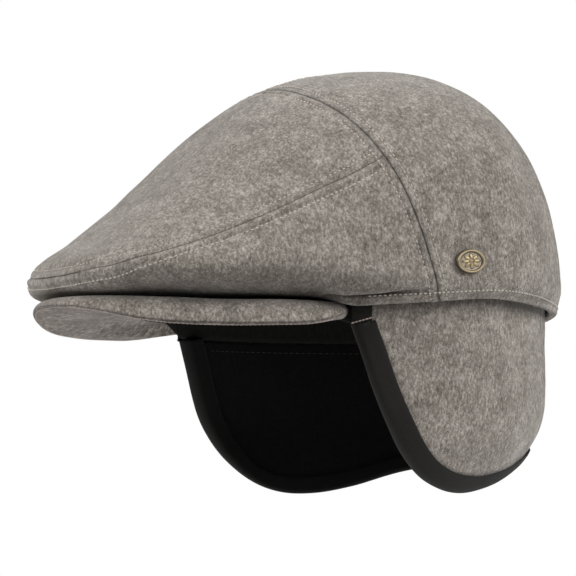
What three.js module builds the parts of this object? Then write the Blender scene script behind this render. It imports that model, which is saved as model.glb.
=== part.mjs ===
// A wool flat cap with a stitched-down peak and earflaps that run round the nape in one piece.
// Millimetres, +Z up. The peak points to -Y and the wearer's left ear is towards +X.
// The origin is the centre of the head opening, level with the lower edge at the nape.
import * as THREE from 'three';
import { mergeVertices } from 'three/addons/utils/BufferGeometryUtils.js';

// Driving dimensions
const CLOTH = 2.4;
const GAP = 0.3;
const CROWN_AXIS_Y = 14;
const CROWN_TOP = 117.3;
const HEAD_SIDE = 90;
const HEAD_FRONT = 103;
const PEAK_END_ANGLE = 52;
const PEAK_ROLL = 12;
const BAND_BOTTOM = -5.6;
const BAND_TOP = 22;
const BAND_CLOTH = 1.5;
const FLAP_WOOL = 1.8;
const FLAP_FLEECE = 1.8;
const TAPE = 0.8;
const BADGE_LENGTH = 14;
const BADGE_HEIGHT = 10.6;
const BADGE_DEPTH = 2.6;

// How far the layers at the hem lie inside the crown's outer oval
const TAPE_ROOM = 0.55;
const INNER_TAPE_ROOM = 0.95;
const TAPE_INSET = CLOTH + GAP;
const WOOL_INSET = TAPE_INSET + TAPE + TAPE_ROOM;
const FLEECE_INSET = WOOL_INSET + FLAP_WOOL + GAP;
const INNER_TAPE_INSET = FLEECE_INSET + FLAP_FLEECE + INNER_TAPE_ROOM;

// Colours from the cloth, the tape and the badge
const WOOL_GREY = 0x77726d;
const UNDER_GREY = 0x6d6661;
const TAPE_BLACK = 0x191818;
const FLEECE_BLACK = 0x121112;
const BAND_BLACK = 0x1b1c1a;
const OLD_BRASS = 0x7d6a45;

// Angles are in degrees round the crown's axis: 0 is the middle of the peak, 180 the nape.
// The crown is a stack of ovals. Each row tells how far they reach one way at the fullest level,
// how full the section is on its way up, and how much it is hollowed at half height.
const CROWN_SECTIONS = {
  front: { reach: 161.5, fullness: 1.35, hollow: 0.18 },
  side: { reach: 96.5, fullness: 2.98, hollow: 0 },
  back: { reach: 88.4, fullness: 1.6, hollow: 0.027 },
};
const HOLLOW_RISE = 1.2;
const CROWN_LEAN_BACK = 6;
const FRONT_SQUARENESS = 2.57;
const OVAL = 2;

// The height of the fullest level: its mean, its fall to the front and its rise at both ends
const FULLEST_HEIGHT = 14.85;
const FULLEST_FALL = 0.4;
const FULLEST_ENDS = 1.6;

// The crown's lower edge: its height, and how much of it is folded in over the peak
const HEM_SECTIONS = [
  { angle: 0, height: 5.5, fold: 1 },
  { angle: 20, height: 5.3, fold: 1 },
  { angle: 40, height: 5.1, fold: 1 },
  { angle: 46, height: 4.4, fold: 0.8 },
  { angle: 52, height: 2.2, fold: 0 },
  { angle: 65, height: 3.3, fold: 0 },
  { angle: 80, height: 5.2, fold: 0 },
  { angle: 95, height: 7, fold: 0 },
  { angle: 108, height: 6.6, fold: 0 },
  { angle: 132, height: 4.2, fold: 0 },
  { angle: 160, height: 2, fold: 0 },
  { angle: 180, height: 0.6, fold: 0 },
];

// The seam between the side panel and the top panel, as a share of the way up the section
const SIDE_SEAM = [
  { angle: 0, share: 0.007 },
  { angle: 8, share: 0.008 },
  { angle: 15, share: 0.02 },
  { angle: 25, share: 0.051 },
  { angle: 35, share: 0.117 },
  { angle: 45, share: 0.19 },
  { angle: 55, share: 0.256 },
  { angle: 66, share: 0.345 },
];

// The peak: how far its rim reaches, and the heights of the rim, the top cover and the underside
const PEAK_SECTIONS = [
  { angle: 0, reach: 164, rim: 2.6, crest: 5.1, under: -1.5 },
  { angle: 9, reach: 161, rim: 1.4, crest: 5, under: -1.8 },
  { angle: 20, reach: 149, rim: -4.6, crest: 4.9, under: -2.6 },
  { angle: 30, reach: 135.5, rim: -7, crest: 4.8, under: -3 },
  { angle: 40, reach: 124, rim: -7.6, crest: 4.7, under: -3 },
  { angle: 46, reach: 117, rim: -6.8, crest: 4, under: -2.8 },
  { angle: 50, reach: 110, rim: -5, crest: 2.7, under: -2.5 },
  { angle: 52, reach: 103, rim: -2.6, crest: 1.7, under: -2.2 },
];

// The earflap's edge, from its front corner below the peak's end round to the nape
const FLAP_EDGE = [
  { turn: 64.8, height: -6 },
  { turn: 67.9, height: -20 },
  { turn: 71, height: -35 },
  { turn: 74.8, height: -49 },
  { turn: 79.8, height: -61.5 },
  { turn: 87, height: -71 },
  { turn: 97, height: -76.6 },
  { turn: 110, height: -78.4 },
  { turn: 125, height: -75.6 },
  { turn: 145, height: -68 },
  { turn: 180, height: -62 },
];

// Small helpers
const radians = THREE.MathUtils.degToRad;
const mix = THREE.MathUtils.lerp;
const ease = THREE.MathUtils.smoothstep;

function steps(first, last, count) {
  return Array.from({ length: count + 1 }, (_, i) => mix(first, last, i / count));
}

// Reads one column of a table at any angle, along a smooth curve through its rows
function follow(rows, column, at, key = 'angle') {
  const last = rows.length - 1;
  const x = THREE.MathUtils.clamp(at, rows[0][key], rows[last][key]);
  let i = 0;
  while (i < last - 1 && x > rows[i + 1][key]) i += 1;
  const slope = (j) => {
    if (j === 0) return 0;
    const before = rows[j - 1];
    const after = rows[Math.min(j + 1, last)];
    const closed = j === last && rows[last][key] === 180;
    return closed ? 0 : (after[column] - before[column]) / (after[key] - before[key]);
  };
  const width = rows[i + 1][key] - rows[i][key];
  const t = (x - rows[i][key]) / width;
  const bend = t * t * (3 - 2 * t);
  const out = t * (1 - t) * (1 - t) * width;
  const back = t * t * (t - 1) * width;
  return mix(rows[i][column], rows[i + 1][column], bend) + slope(i) * out + slope(i + 1) * back;
}

function bezier(a, b, c, d, t) {
  const u = 1 - t;
  return a * u * u * u + 3 * b * u * u * t + 3 * c * u * t * t + d * t * t * t;
}

// Finds where a rising function passes zero
function solve(rising, low, high) {
  let from = low;
  let to = high;
  for (let i = 0; i < 40; i += 1) {
    const middle = (from + to) / 2;
    if (rising(middle) > 0) to = middle;
    else from = middle;
  }
  return (from + to) / 2;
}

function mesh(name, geometry, color, roughness, metalness = 0) {
  const material = new THREE.MeshStandardMaterial({ color, roughness, metalness });
  const piece = new THREE.Mesh(geometry, material);
  piece.name = name;
  return piece;
}

// Turns a list of four-cornered faces into one closed body that faces outwards
function closedBody(quads) {
  const corners = [];
  for (const [a, b, c, d] of quads) corners.push(a, b, c, a, c, d);
  const loose = new THREE.BufferGeometry().setFromPoints(corners);
  const welded = mergeVertices(loose, 1e-3);
  const index = Array.from(welded.index.array);
  const kept = [];
  for (let i = 0; i < index.length; i += 3) {
    const [a, b, c] = index.slice(i, i + 3);
    if (a !== b && b !== c && c !== a) kept.push(a, b, c);
  }
  const place = welded.attributes.position;
  const point = (k) => new THREE.Vector3().fromBufferAttribute(place, k);
  let volume = 0;
  for (let i = 0; i < kept.length; i += 3) {
    volume += point(kept[i]).dot(point(kept[i + 1]).cross(point(kept[i + 2])));
  }
  if (volume < 0) kept.reverse();
  welded.setIndex(kept);
  welded.computeVertexNormals();
  return welded;
}

// A wall of cloth between two grids of points, both read as grid[column][row]
function wall(outer, inner, ring = false) {
  const quads = [];
  const columns = outer.length;
  const rows = outer[0].length;
  const spans = ring ? columns : columns - 1;
  for (let i = 0; i < spans; i += 1) {
    const j = (i + 1) % columns;
    for (let k = 0; k < rows - 1; k += 1) {
      quads.push([outer[i][k], outer[j][k], outer[j][k + 1], outer[i][k + 1]]);
      quads.push([inner[i][k], inner[i][k + 1], inner[j][k + 1], inner[j][k]]);
    }
    const top = rows - 1;
    quads.push([inner[i][0], inner[j][0], outer[j][0], outer[i][0]]);
    quads.push([outer[i][top], outer[j][top], inner[j][top], inner[i][top]]);
  }
  if (!ring) {
    const end = columns - 1;
    for (let k = 0; k < rows - 1; k += 1) {
      quads.push([inner[0][k], outer[0][k], outer[0][k + 1], inner[0][k + 1]]);
      quads.push([outer[end][k], inner[end][k], inner[end][k + 1], outer[end][k + 1]]);
    }
  }
  return closedBody(quads);
}

// The head opening: an oval, told by the angle round the crown's axis
function ovalReach(angle, inset) {
  const side = HEAD_SIDE - inset;
  const front = HEAD_FRONT - inset;
  const across = Math.sin(radians(angle)) / side;
  const along = Math.cos(radians(angle)) / front;
  const shift = CROWN_AXIS_Y / front;
  const a = across * across + along * along;
  const b = along * shift;
  const c = shift * shift - 1;
  return (b + Math.sqrt(b * b - a * c)) / a;
}

function around(angle, reach, height) {
  const turn = radians(angle);
  return new THREE.Vector3(reach * Math.sin(turn), CROWN_AXIS_Y - reach * Math.cos(turn), height);
}

// The crown's outside. share runs from 0 at the fullest point to 1 at the top, and below 0
// down to -TUCK, where the cloth turns under to the hem or in over the peak.
const TUCK = 0.25;
const FOLD_DEPTH = 9;
const FOLD_START = 0.35;

function sectionReach({ reach, fullness, hollow }, rise) {
  const drawnIn = 4 * hollow * Math.pow(rise, HOLLOW_RISE) * (1 - rise);
  return reach * Math.sqrt(1 - Math.pow(rise, fullness)) * (1 - drawnIn);
}

function crownReach(angle, rise) {
  if (rise >= 1) return 0;
  const facing = Math.cos(radians(angle));
  const end = facing > 0 ? CROWN_SECTIONS.front : CROWN_SECTIONS.back;
  const power = facing > 0 ? mix(FRONT_SQUARENESS, OVAL, rise) : OVAL;
  const across = Math.abs(Math.sin(radians(angle))) / sectionReach(CROWN_SECTIONS.side, rise);
  const along = Math.abs(facing) / sectionReach(end, rise);
  return Math.pow(Math.pow(across, power) + Math.pow(along, power), -1 / power);
}

function fullestHeight(angle) {
  const turn = radians(angle);
  return FULLEST_HEIGHT - FULLEST_FALL * Math.cos(turn) + FULLEST_ENDS * Math.cos(2 * turn);
}

function crownPoint(angle, share) {
  const side = Math.abs(angle);
  const height = fullestHeight(angle);
  if (share >= 0) {
    const rise = Math.min(share * (2 - share), 1);
    const at = around(angle, crownReach(angle, rise), mix(height, CROWN_TOP, rise));
    return at.setY(at.y + CROWN_LEAN_BACK * rise);
  }
  const reach = crownReach(angle, 0);
  const t = Math.min(-share / TUCK, 1);
  const fold = follow(HEM_SECTIONS, 'fold', side);
  const hemHeight = follow(HEM_SECTIONS, 'height', side);
  const hemReach = ovalReach(side, mix(0, FLEECE_INSET - GAP, fold));
  const drop = height - hemHeight;
  const plainTurn = mix(hemReach, reach, FOLD_START);
  const turnReach = mix(plainTurn, reach - FOLD_DEPTH, fold);
  const turnHeight = hemHeight + mix(FOLD_START * drop, 0, fold);
  const startHeight = hemHeight + mix(1 - FOLD_START, FOLD_START, fold) * drop;
  const out = bezier(reach, reach, turnReach, hemReach, t);
  return around(angle, out, bezier(height, startHeight, turnHeight, hemHeight, t));
}

function crownNormal(angle, share) {
  const step = 1e-3;
  const along = crownPoint(angle + 0.1, share).sub(crownPoint(angle - 0.1, share));
  const low = Math.max(share - step, -TUCK);
  const high = Math.min(share + step, 1);
  const up = crownPoint(angle, high).sub(crownPoint(angle, low));
  const normal = along.cross(up);
  return normal.length() < 1e-9 ? new THREE.Vector3(0, 0, 1) : normal.normalize();
}

// Moves along a section by a distance in millimetres
function shareAfter(angle, share, distance) {
  const step = 1e-3;
  const speed = crownPoint(angle, share + step).distanceTo(crownPoint(angle, share)) / step;
  return share + distance / speed;
}

// The seam that crosses the crown from side to side leans forward on its way up
const CROSS_SEAM_FOOT_Y = -10;
const CROSS_SEAM_FOOT_Z = 12;
const CROSS_SEAM_LEAN = 30;
const CROSS_SEAM_RISE = 88;
const CROSS_SEAM_BEND = 1.12;
const CROSS_SEAM_SLANT = 1.2;

function crossSeamY(height) {
  const up = Math.max(height - CROSS_SEAM_FOOT_Z, 0) / CROSS_SEAM_RISE;
  return CROSS_SEAM_FOOT_Y - CROSS_SEAM_LEAN * Math.min(Math.pow(up, CROSS_SEAM_BEND), 1);
}

function behindSeam(angle, share, shift) {
  const at = crownPoint(angle, share);
  return at.y - crossSeamY(at.z) - shift;
}

function crossShare(angle, shift) {
  return solve((share) => behindSeam(angle, share, shift), 0, 1);
}

function crossAngle(share, shift) {
  return solve((angle) => behindSeam(angle, share, shift), 1, 100);
}

// Panels that meet at a seam have their columns at the same places, so their edges stay parallel
const SEAM_ANGLES = steps(0, 60, 10);
const SEAM_SHARES = [0.27, 0.21, 0.15, 0.1, 0.05, 0];

// The lower part of the cross seam, from below its meeting with the side seam to the hem
function crossSeamSide(shift) {
  const points = SEAM_SHARES.map((share) => ({ angle: crossAngle(share, shift), share }));
  const foot = points[points.length - 1].angle;
  const turnedUnder = [1 / 3, 2 / 3, 1].map((t) => {
    return { angle: foot + CROSS_SEAM_SLANT * t, share: -TUCK * t };
  });
  return [...points, ...turnedUnder];
}

function sideSeamShare(angle, shift) {
  return shareAfter(angle, follow(SIDE_SEAM, 'share', Math.abs(angle)), shift);
}

// Where the side seam and the cross seam meet
function seamMeeting(sideShift, crossShift) {
  const over = (angle) => sideSeamShare(angle, sideShift) - crossShare(angle, crossShift);
  return solve(over, 40, 72);
}

function mirrored(half) {
  const other = half.slice(1).reverse();
  return [...other.map((point) => ({ ...point, angle: -point.angle })), ...half];
}

// A crown panel from columns that each have an angle and a list of shares
function crownPanel(columns, clampX = null) {
  const keep = (point) => (clampX ? clampX(point) : point);
  const outer = columns.map(({ angle, shares }) => shares.map((s) => keep(crownPoint(angle, s))));
  const inner = columns.map(({ angle, shares }) => shares.map((s) => {
    return keep(crownPoint(angle, s).addScaledVector(crownNormal(angle, s), -CLOTH));
  }));
  return wall(outer, inner);
}

const HALF_GAP = GAP / 2;
const HALF_SEAM = 0.25;

function topPanel() {
  const end = seamMeeting(HALF_SEAM, -HALF_SEAM);
  const half = [...SEAM_ANGLES, end].map((angle) => {
    const low = sideSeamShare(angle, HALF_SEAM);
    const high = Math.max(crossShare(angle, -HALF_SEAM), low);
    return { angle, shares: steps(low, high, 7) };
  });
  return crownPanel(mirrored(half));
}

function sidePanel() {
  const corner = seamMeeting(-HALF_SEAM, -HALF_SEAM);
  const along = [...SEAM_ANGLES, corner].map((angle) => {
    return { angle, share: sideSeamShare(angle, -HALF_SEAM) };
  });
  const down = crossSeamSide(-HALF_SEAM);
  const half = [...along, ...down].map(({ angle, share }) => {
    const waist = Math.min(share, 0);
    const shares = [...steps(-TUCK, waist, 5), ...steps(waist, Math.max(share, waist), 4).slice(1)];
    return { angle, shares };
  });
  return crownPanel(mirrored(half));
}

function backPanel(side) {
  const corner = seamMeeting(0, HALF_SEAM);
  const overTop = [...SEAM_ANGLES, corner].map((angle) => {
    return { angle, share: crossShare(angle, HALF_SEAM) };
  });
  const down = crossSeamSide(HALF_SEAM);
  const foot = down[down.length - 1].angle;
  const round = steps(foot, 180, 12).slice(1).map((angle) => ({ angle, share: -TUCK }));
  const columns = [...overTop, ...down, ...round].map(({ angle, share }) => {
    return { angle: side * angle, shares: steps(share, 1, 10) };
  });
  const clampX = (point) => point.setX(side * Math.max(side * point.x, HALF_SEAM));
  return crownPanel(columns, clampX);
}

// The peak: two covers that meet along the rim, with a rounded roll just inside it. The underside
// arches up from the roll to the head opening.
const UNDER_ARCH = 5.4;

function peakPoint(angle, share, layer) {
  const side = Math.abs(angle);
  const read = (column) => follow(PEAK_SECTIONS, column, side);
  const reach = read('reach');
  const depth = reach - ovalReach(side, FLEECE_INSET - GAP);
  const inward = depth * share;
  const nearRim = 1 - Math.min(inward / PEAK_ROLL, 1);
  const roll = Math.sqrt(1 - nearRim * nearRim);
  const top = mix(read('rim'), read('crest'), roll);
  const arch = UNDER_ARCH * ease(inward, PEAK_ROLL, depth);
  const under = mix(read('rim'), read('under'), ease(inward, 0, PEAK_ROLL * 2)) - roll + arch;
  const middle = mix(under, top, 0.5);
  const heights = {
    top: Math.max(top, middle + HALF_GAP),
    topInside: middle + HALF_GAP,
    underInside: middle - HALF_GAP,
    under: under - HALF_GAP,
  };
  return around(angle, reach - inward, heights[layer]);
}

function peakCover(outside, inside) {
  const angles = steps(-PEAK_END_ANGLE, PEAK_END_ANGLE, 26);
  const shares = [0, 0.02, 0.07, 0.15, 0.3, 0.6, 1];
  const grid = (layer) => angles.map((angle) => shares.map((s) => peakPoint(angle, s, layer)));
  return wall(grid(outside), grid(inside));
}

// The earflaps: one oval curtain, told by its turn round the head and its height
const FLAP_TAPER = 0.2;
const TAPER_START = -38;
const TAPER_LENGTH = 42;
const NAPE_DRAW = 0.07;
const NAPE_DRAW_START = -24;
const NAPE_DRAW_LENGTH = 40;
const TURN_MM = 1.6;

function below(start, length, height) {
  return (Math.max(start - height, 0) / length) ** 2;
}

function curtainPoint(turn, height, inset) {
  const scale = 1 - FLAP_TAPER * below(TAPER_START, TAPER_LENGTH, height);
  const backwards = -Math.cos(radians(turn));
  const draw = NAPE_DRAW * Math.max(backwards, 0) * below(NAPE_DRAW_START, NAPE_DRAW_LENGTH, height);
  const x = (HEAD_SIDE - inset) * scale * Math.sin(radians(turn));
  const y = (HEAD_FRONT - inset) * (scale - draw) * backwards;
  return new THREE.Vector3(x, y, height);
}

// The edge as a function of the turn, drawn in by a distance
function flapEdge(inset) {
  const flat = FLAP_EDGE.map(({ turn, height }) => new THREE.Vector3(turn * TURN_MM, height, 0));
  const curve = new THREE.CatmullRomCurve3(flat, false, 'centripetal');
  return curve.getSpacedPoints(40).map((point, i) => {
    const tangent = curve.getTangentAt(i / 40);
    const inward = new THREE.Vector3(-tangent.y, tangent.x, 0);
    if (i === 40) inward.set(0, 1, 0);
    const moved = point.clone().addScaledVector(inward, inset);
    return { turn: moved.x / TURN_MM, height: moved.y };
  });
}

const EDGE_ROOM = TAPE + TAPE_ROOM;
const WOOL_ABOVE_HEM = 7;
const NOTCH_TURN = 70;
const JOINT = BAND_BOTTOM - GAP;

function curtain(outerInset, thickness, topHeight) {
  const edge = flapEdge(EDGE_ROOM);
  const spaced = edge.filter((_, i) => i % 2 === 0);
  const half = spaced.map(({ turn, height }) => ({ turn, low: height, high: topHeight(turn) }));
  const nape = half[half.length - 1];
  nape.turn = 180;
  const other = half.slice(0, -1).reverse().map((c) => ({ ...c, turn: 360 - c.turn }));
  const columns = [...half, ...other];
  const grid = (inset) => columns.map(({ turn, low, high }) => {
    const heights = [...steps(Math.min(low, JOINT - 1), JOINT, 6), Math.max(high, JOINT)];
    return heights.map((height) => curtainPoint(turn, height, inset));
  });
  return wall(grid(outerInset), grid(outerInset + thickness));
}

function earflapWool() {
  return curtain(WOOL_INSET, FLAP_WOOL, (turn) => {
    const side = Math.min(turn, 360 - turn);
    const hem = follow(HEM_SECTIONS, 'height', side);
    return side < NOTCH_TURN ? JOINT : hem + WOOL_ABOVE_HEM;
  });
}

function earflapFleece() {
  return curtain(FLEECE_INSET, FLAP_FLEECE, () => JOINT);
}

// The tape folded over the flaps' edge, wide at the front and narrow along the bottom
const TAPE_WIDE = 10.5;
const TAPE_NARROW = 7;

function edgeTape() {
  const flat = FLAP_EDGE.map(({ turn, height }) => new THREE.Vector3(turn * TURN_MM, height, 0));
  const curve = new THREE.CatmullRomCurve3(flat, false, 'centripetal');
  const stations = 32;
  const half = steps(0, 1, stations).map((t) => {
    const point = curve.getPointAt(t);
    const tangent = curve.getTangentAt(t);
    const inward = new THREE.Vector3(-tangent.y, tangent.x, 0);
    if (t === 1) inward.set(0, 1, 0);
    if (t === 0) inward.set(1, 0, 0);
    const width = mix(TAPE_WIDE, TAPE_NARROW, ease(t, 0.22, 0.42));
    const section = [
      [width, TAPE_INSET + TAPE], [width, TAPE_INSET], [0, TAPE_INSET], [0, INNER_TAPE_INSET + TAPE],
      [width, INNER_TAPE_INSET + TAPE], [width, INNER_TAPE_INSET],
      [TAPE, INNER_TAPE_INSET], [TAPE, TAPE_INSET + TAPE],
    ];
    return section.map(([depth, inset]) => {
      const at = point.clone().addScaledVector(inward, depth);
      return { turn: at.x / TURN_MM, height: at.y, inset };
    });
  });
  const other = half.slice(0, -1).reverse().map((section) => {
    return section.map((corner) => ({ ...corner, turn: 360 - corner.turn }));
  });
  const rings = [...half, ...other].map((section) => {
    return section.map(({ turn, height, inset }) => curtainPoint(turn, height, inset));
  });
  return sweep(rings);
}

// Joins a row of closed eight-cornered sections, and caps both ends
function sweep(rings) {
  const quads = [];
  const count = rings[0].length;
  for (let i = 0; i < rings.length - 1; i += 1) {
    for (let k = 0; k < count; k += 1) {
      const next = (k + 1) % count;
      quads.push([rings[i][k], rings[i + 1][k], rings[i + 1][next], rings[i][next]]);
    }
  }
  const first = rings[0];
  const last = rings[rings.length - 1];
  const pairs = [[0, 1, 2, 7], [7, 2, 3, 6], [6, 3, 4, 5]];
  for (const [a, b, c, d] of pairs) {
    quads.push([first[a], first[b], first[c], first[d]]);
    quads.push([last[d], last[c], last[b], last[a]]);
  }
  return closedBody(quads);
}

// The sweatband: a plain oval band that leans in a little towards its top, and whose lower edge
// is higher over the peak
const BAND_LEAN = 1.2;
const BAND_BOTTOM_FRONT = 1.2;
const BAND_FALL_START = 48;
const BAND_FALL_END = 60;

function bandBottom(turn) {
  const side = Math.min(turn, 360 - turn);
  return mix(BAND_BOTTOM_FRONT, BAND_BOTTOM, ease(side, BAND_FALL_START, BAND_FALL_END));
}

function sweatband() {
  const turns = steps(0, 360, 48).slice(0, -1);
  const lean = (height) => BAND_LEAN * ease(height, 0, BAND_TOP);
  const grid = (inset) => turns.map((turn) => steps(bandBottom(turn), BAND_TOP, 2).map((height) => {
    return curtainPoint(turn, height, inset + lean(height));
  }));
  return wall(grid(FLEECE_INSET), grid(FLEECE_INSET + BAND_CLOTH), true);
}

// The badge: an oval button with a raised rim and a low boss, seated on the left side
const BADGE_ANGLE = 85.4;
const BADGE_SHARE = 0.041;

function badge() {
  const rim = BADGE_LENGTH / 2;
  const profile = [
    [0, 0], [rim - 0.5, 0], [rim, 0.5], [rim, BADGE_DEPTH - 0.5], [rim - 0.6, BADGE_DEPTH],
    [rim - 1.1, BADGE_DEPTH - 0.2], [rim - 1.5, BADGE_DEPTH - 0.9], [2, BADGE_DEPTH - 0.8],
    [1.4, BADGE_DEPTH - 0.3], [0, BADGE_DEPTH - 0.1],
  ];
  const shape = new THREE.LatheGeometry(profile.map(([x, y]) => new THREE.Vector2(x, y)), 28);
  shape.deleteAttribute('uv');
  shape.deleteAttribute('normal');
  shape.scale(1, 1, BADGE_HEIGHT / BADGE_LENGTH);
  const normal = crownNormal(BADGE_ANGLE, BADGE_SHARE);
  const along = new THREE.Vector3(0, 0, 1).cross(normal).normalize();
  const down = along.clone().cross(normal);
  const seat = crownPoint(BADGE_ANGLE, BADGE_SHARE).addScaledVector(normal, GAP);
  shape.applyMatrix4(new THREE.Matrix4().makeBasis(along, normal, down));
  shape.translate(seat.x, seat.y, seat.z);
  const welded = mergeVertices(shape, 1e-3);
  const point = (k) => new THREE.Vector3().fromBufferAttribute(welded.attributes.position, k);
  const index = welded.index.array;
  const quads = [];
  for (let i = 0; i < index.length; i += 3) {
    const [a, b, c] = [point(index[i]), point(index[i + 1]), point(index[i + 2])];
    quads.push([a, b, c, c]);
  }
  return closedBody(quads);
}

const cap = new THREE.Group();
cap.add(mesh('crown_top_panel', topPanel(), WOOL_GREY, 0.95));
cap.add(mesh('crown_side_panel', sidePanel(), WOOL_GREY, 0.95));
cap.add(mesh('crown_back_left', backPanel(1), WOOL_GREY, 0.95));
cap.add(mesh('crown_back_right', backPanel(-1), WOOL_GREY, 0.95));
cap.add(mesh('peak_top_cover', peakCover('top', 'topInside'), WOOL_GREY, 0.95));
cap.add(mesh('peak_under_cover', peakCover('under', 'underInside'), UNDER_GREY, 0.95));
cap.add(mesh('sweatband', sweatband(), BAND_BLACK, 0.8));
cap.add(mesh('earflap_wool', earflapWool(), WOOL_GREY, 0.95));
cap.add(mesh('earflap_fleece', earflapFleece(), FLEECE_BLACK, 1));
cap.add(mesh('edge_tape', edgeTape(), TAPE_BLACK, 0.85));
cap.add(mesh('badge', badge(), OLD_BRASS, 0.45, 0.9));

export default cap;
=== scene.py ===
import math

import bmesh
import bpy
import numpy as np
from mathutils import Matrix, Vector, noise
from mathutils.bvhtree import BVHTree
from mathutils.kdtree import KDTree


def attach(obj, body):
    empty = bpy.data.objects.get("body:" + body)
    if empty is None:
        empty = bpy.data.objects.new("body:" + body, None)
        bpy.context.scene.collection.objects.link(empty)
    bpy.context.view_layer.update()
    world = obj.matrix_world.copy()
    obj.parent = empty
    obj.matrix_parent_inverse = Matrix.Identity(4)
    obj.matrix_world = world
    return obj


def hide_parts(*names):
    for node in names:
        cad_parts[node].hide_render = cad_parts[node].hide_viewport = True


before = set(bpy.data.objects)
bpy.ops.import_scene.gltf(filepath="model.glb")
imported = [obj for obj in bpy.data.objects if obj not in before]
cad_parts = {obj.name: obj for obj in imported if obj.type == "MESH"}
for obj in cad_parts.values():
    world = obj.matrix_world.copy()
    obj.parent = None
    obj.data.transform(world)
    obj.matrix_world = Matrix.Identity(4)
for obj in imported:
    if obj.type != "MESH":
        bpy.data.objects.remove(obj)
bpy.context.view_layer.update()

# A wool flat cap with earflaps. Sizes are in millimetres until a mesh is made from them, and
# repeat the part's source. The peak points to -Y and the wearer's left ear is towards +X.
MM = 0.001
CLOTH = 2.4
GAP = 0.3
HALF_SEAM = 0.15
CROWN_AXIS_Y = 14
CROWN_TOP = 117.3
HEAD_SIDE = 90
HEAD_FRONT = 103
PEAK_END_ANGLE = 53
PEAK_ROLL = 12
BAND_BOTTOM = -5.6
BAND_TOP = 22
BAND_CLOTH = 1.5
BAND_LEAN = 1.2
BAND_BOTTOM_FRONT = 1.2
BAND_FALL_START = 54
BAND_FALL_END = 64.5
FLAP_WOOL = 1.8
FLAP_FLEECE = 1.8
TAPE = 0.8
BADGE_LENGTH = 15
BADGE_HEIGHT = 10.6
BADGE_DEPTH = 2.6

# How far the layers at the hem lie inside the crown's outer oval
TAPE_INSET = CLOTH + GAP
WOOL_INSET = TAPE_INSET + TAPE + 0.55
FLEECE_INSET = WOOL_INSET + FLAP_WOOL + GAP
INNER_TAPE_INSET = FLEECE_INSET + FLAP_FLEECE + 0.95

# The crown as a stack of ovals
FRONT_SECTION = {"reach": 161.5, "fullness": 1.35, "hollow": 0.18}
SIDE_SECTION = {"reach": 96.5, "fullness": 2.98, "hollow": 0}
BACK_SECTION = {"reach": 88.4, "fullness": 1.6, "hollow": 0.027}
HOLLOW_RISE = 1.2
CROWN_LEAN_BACK = 6
FRONT_SQUARENESS = 2.57
OVAL = 2
FULLEST_HEIGHT = 14.85
FULLEST_FALL = 0.4
FULLEST_ENDS = 1.6
TUCK = 0.25
FOLD_DEPTH = 9
FOLD_START = 0.35

# What the sewn cloth adds to the plain form: a blunt, fuller nose, a raised front hem, and
# side panels that draw in above the peak
NOSE_ANGLE = 24
NOSE_LIFT = 2.6
NOSE_FOLD_DEPTH = 2.2
NOSE_FOLD_START = 0.08
FRONT_HEM_LIFT = 0.4
NOSE_HEM_LIFT = 0.9
SIDE_DRAW = 7.5

# Where these fade: angles from the front in degrees, heights in millimetres, and shares of
# the crown's rise or of its fold below the fullest height
BLUNT_LEFT = (7, 20)
BLUNT_RIGHT = (28, 44)
NOSE_LIFT_STARTS = (0.006, 0.02)
NOSE_LIFT_ENDS = (0.02, 0.09)
HEM_LIFT_STARTS = (0.1, 0.6)
DRAW_ENDS_ROUND = (44, 54)
DRAW_ENDS_UP = (5, 24)
DRAW_ENDS_DOWN = (0.45, 0.9)

HEM = {
    "angle": [0, 20, 40, 46, 52, 65, 80, 95, 108, 132, 160, 180],
    "height": [5.5, 5.3, 5.1, 4.4, 2.2, 3.3, 5.2, 7, 6.6, 4.2, 2, 0.6],
    "fold": [1, 1, 1, 0.8, 0, 0, 0, 0, 0, 0, 0, 0],
}
SIDE_SEAM = {
    "angle": [0, 4, 8, 12, 15, 20, 25, 35, 45, 55, 66],
    "share": [-0.008, -0.007, -0.001, 0.0052, 0.009, 0.0215, 0.048, 0.117, 0.19, 0.256, 0.345],
}
PEAK = {
    "angle": [0, 9, 20, 30, 40, 46, 50, 53],
    "reach": [164, 161, 149, 135.5, 124, 117, 111, 102.5],
    "rim": [2.6, 0.8, -5.1, -6.8, -6.6, -6.0, -4.0, -1.4],
    "crest": [6.2, 5.9, 5.1, 3.9, 3.5, 3.3, 3.0, 2.4],
    "under": [-1.5, -1.8, -2.6, -3, -3, -2.8, -2.5, -2.2],
}
FLAP_EDGE = {
    "turn": [64.8, 67.9, 71, 74.8, 79.8, 87, 97, 110, 125, 145, 180],
    "height": [-6, -20, -35, -49, -61.5, -71, -76.6, -78.4, -75.6, -68, -62],
}
TURN_MM = 1.6

# Numbers that only the working out uses
HALVINGS = 40
TINY = 1e-9
NORMAL_TURN = 0.1
NORMAL_STEP = 1e-3


def mix(a, b, t):
    return a + (b - a) * t


def ease(x, low, high):
    t = np.clip((np.asarray(x, float) - low) / (high - low), 0, 1)
    return t * t * (3 - 2 * t)


def bell(x, middle, width):
    return np.exp(-(((x - middle) / width) ** 2))


def bezier(a, b, c, d, t):
    u = 1 - t
    return a * u**3 + 3 * b * u * u * t + 3 * c * u * t * t + d * t**3


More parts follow.
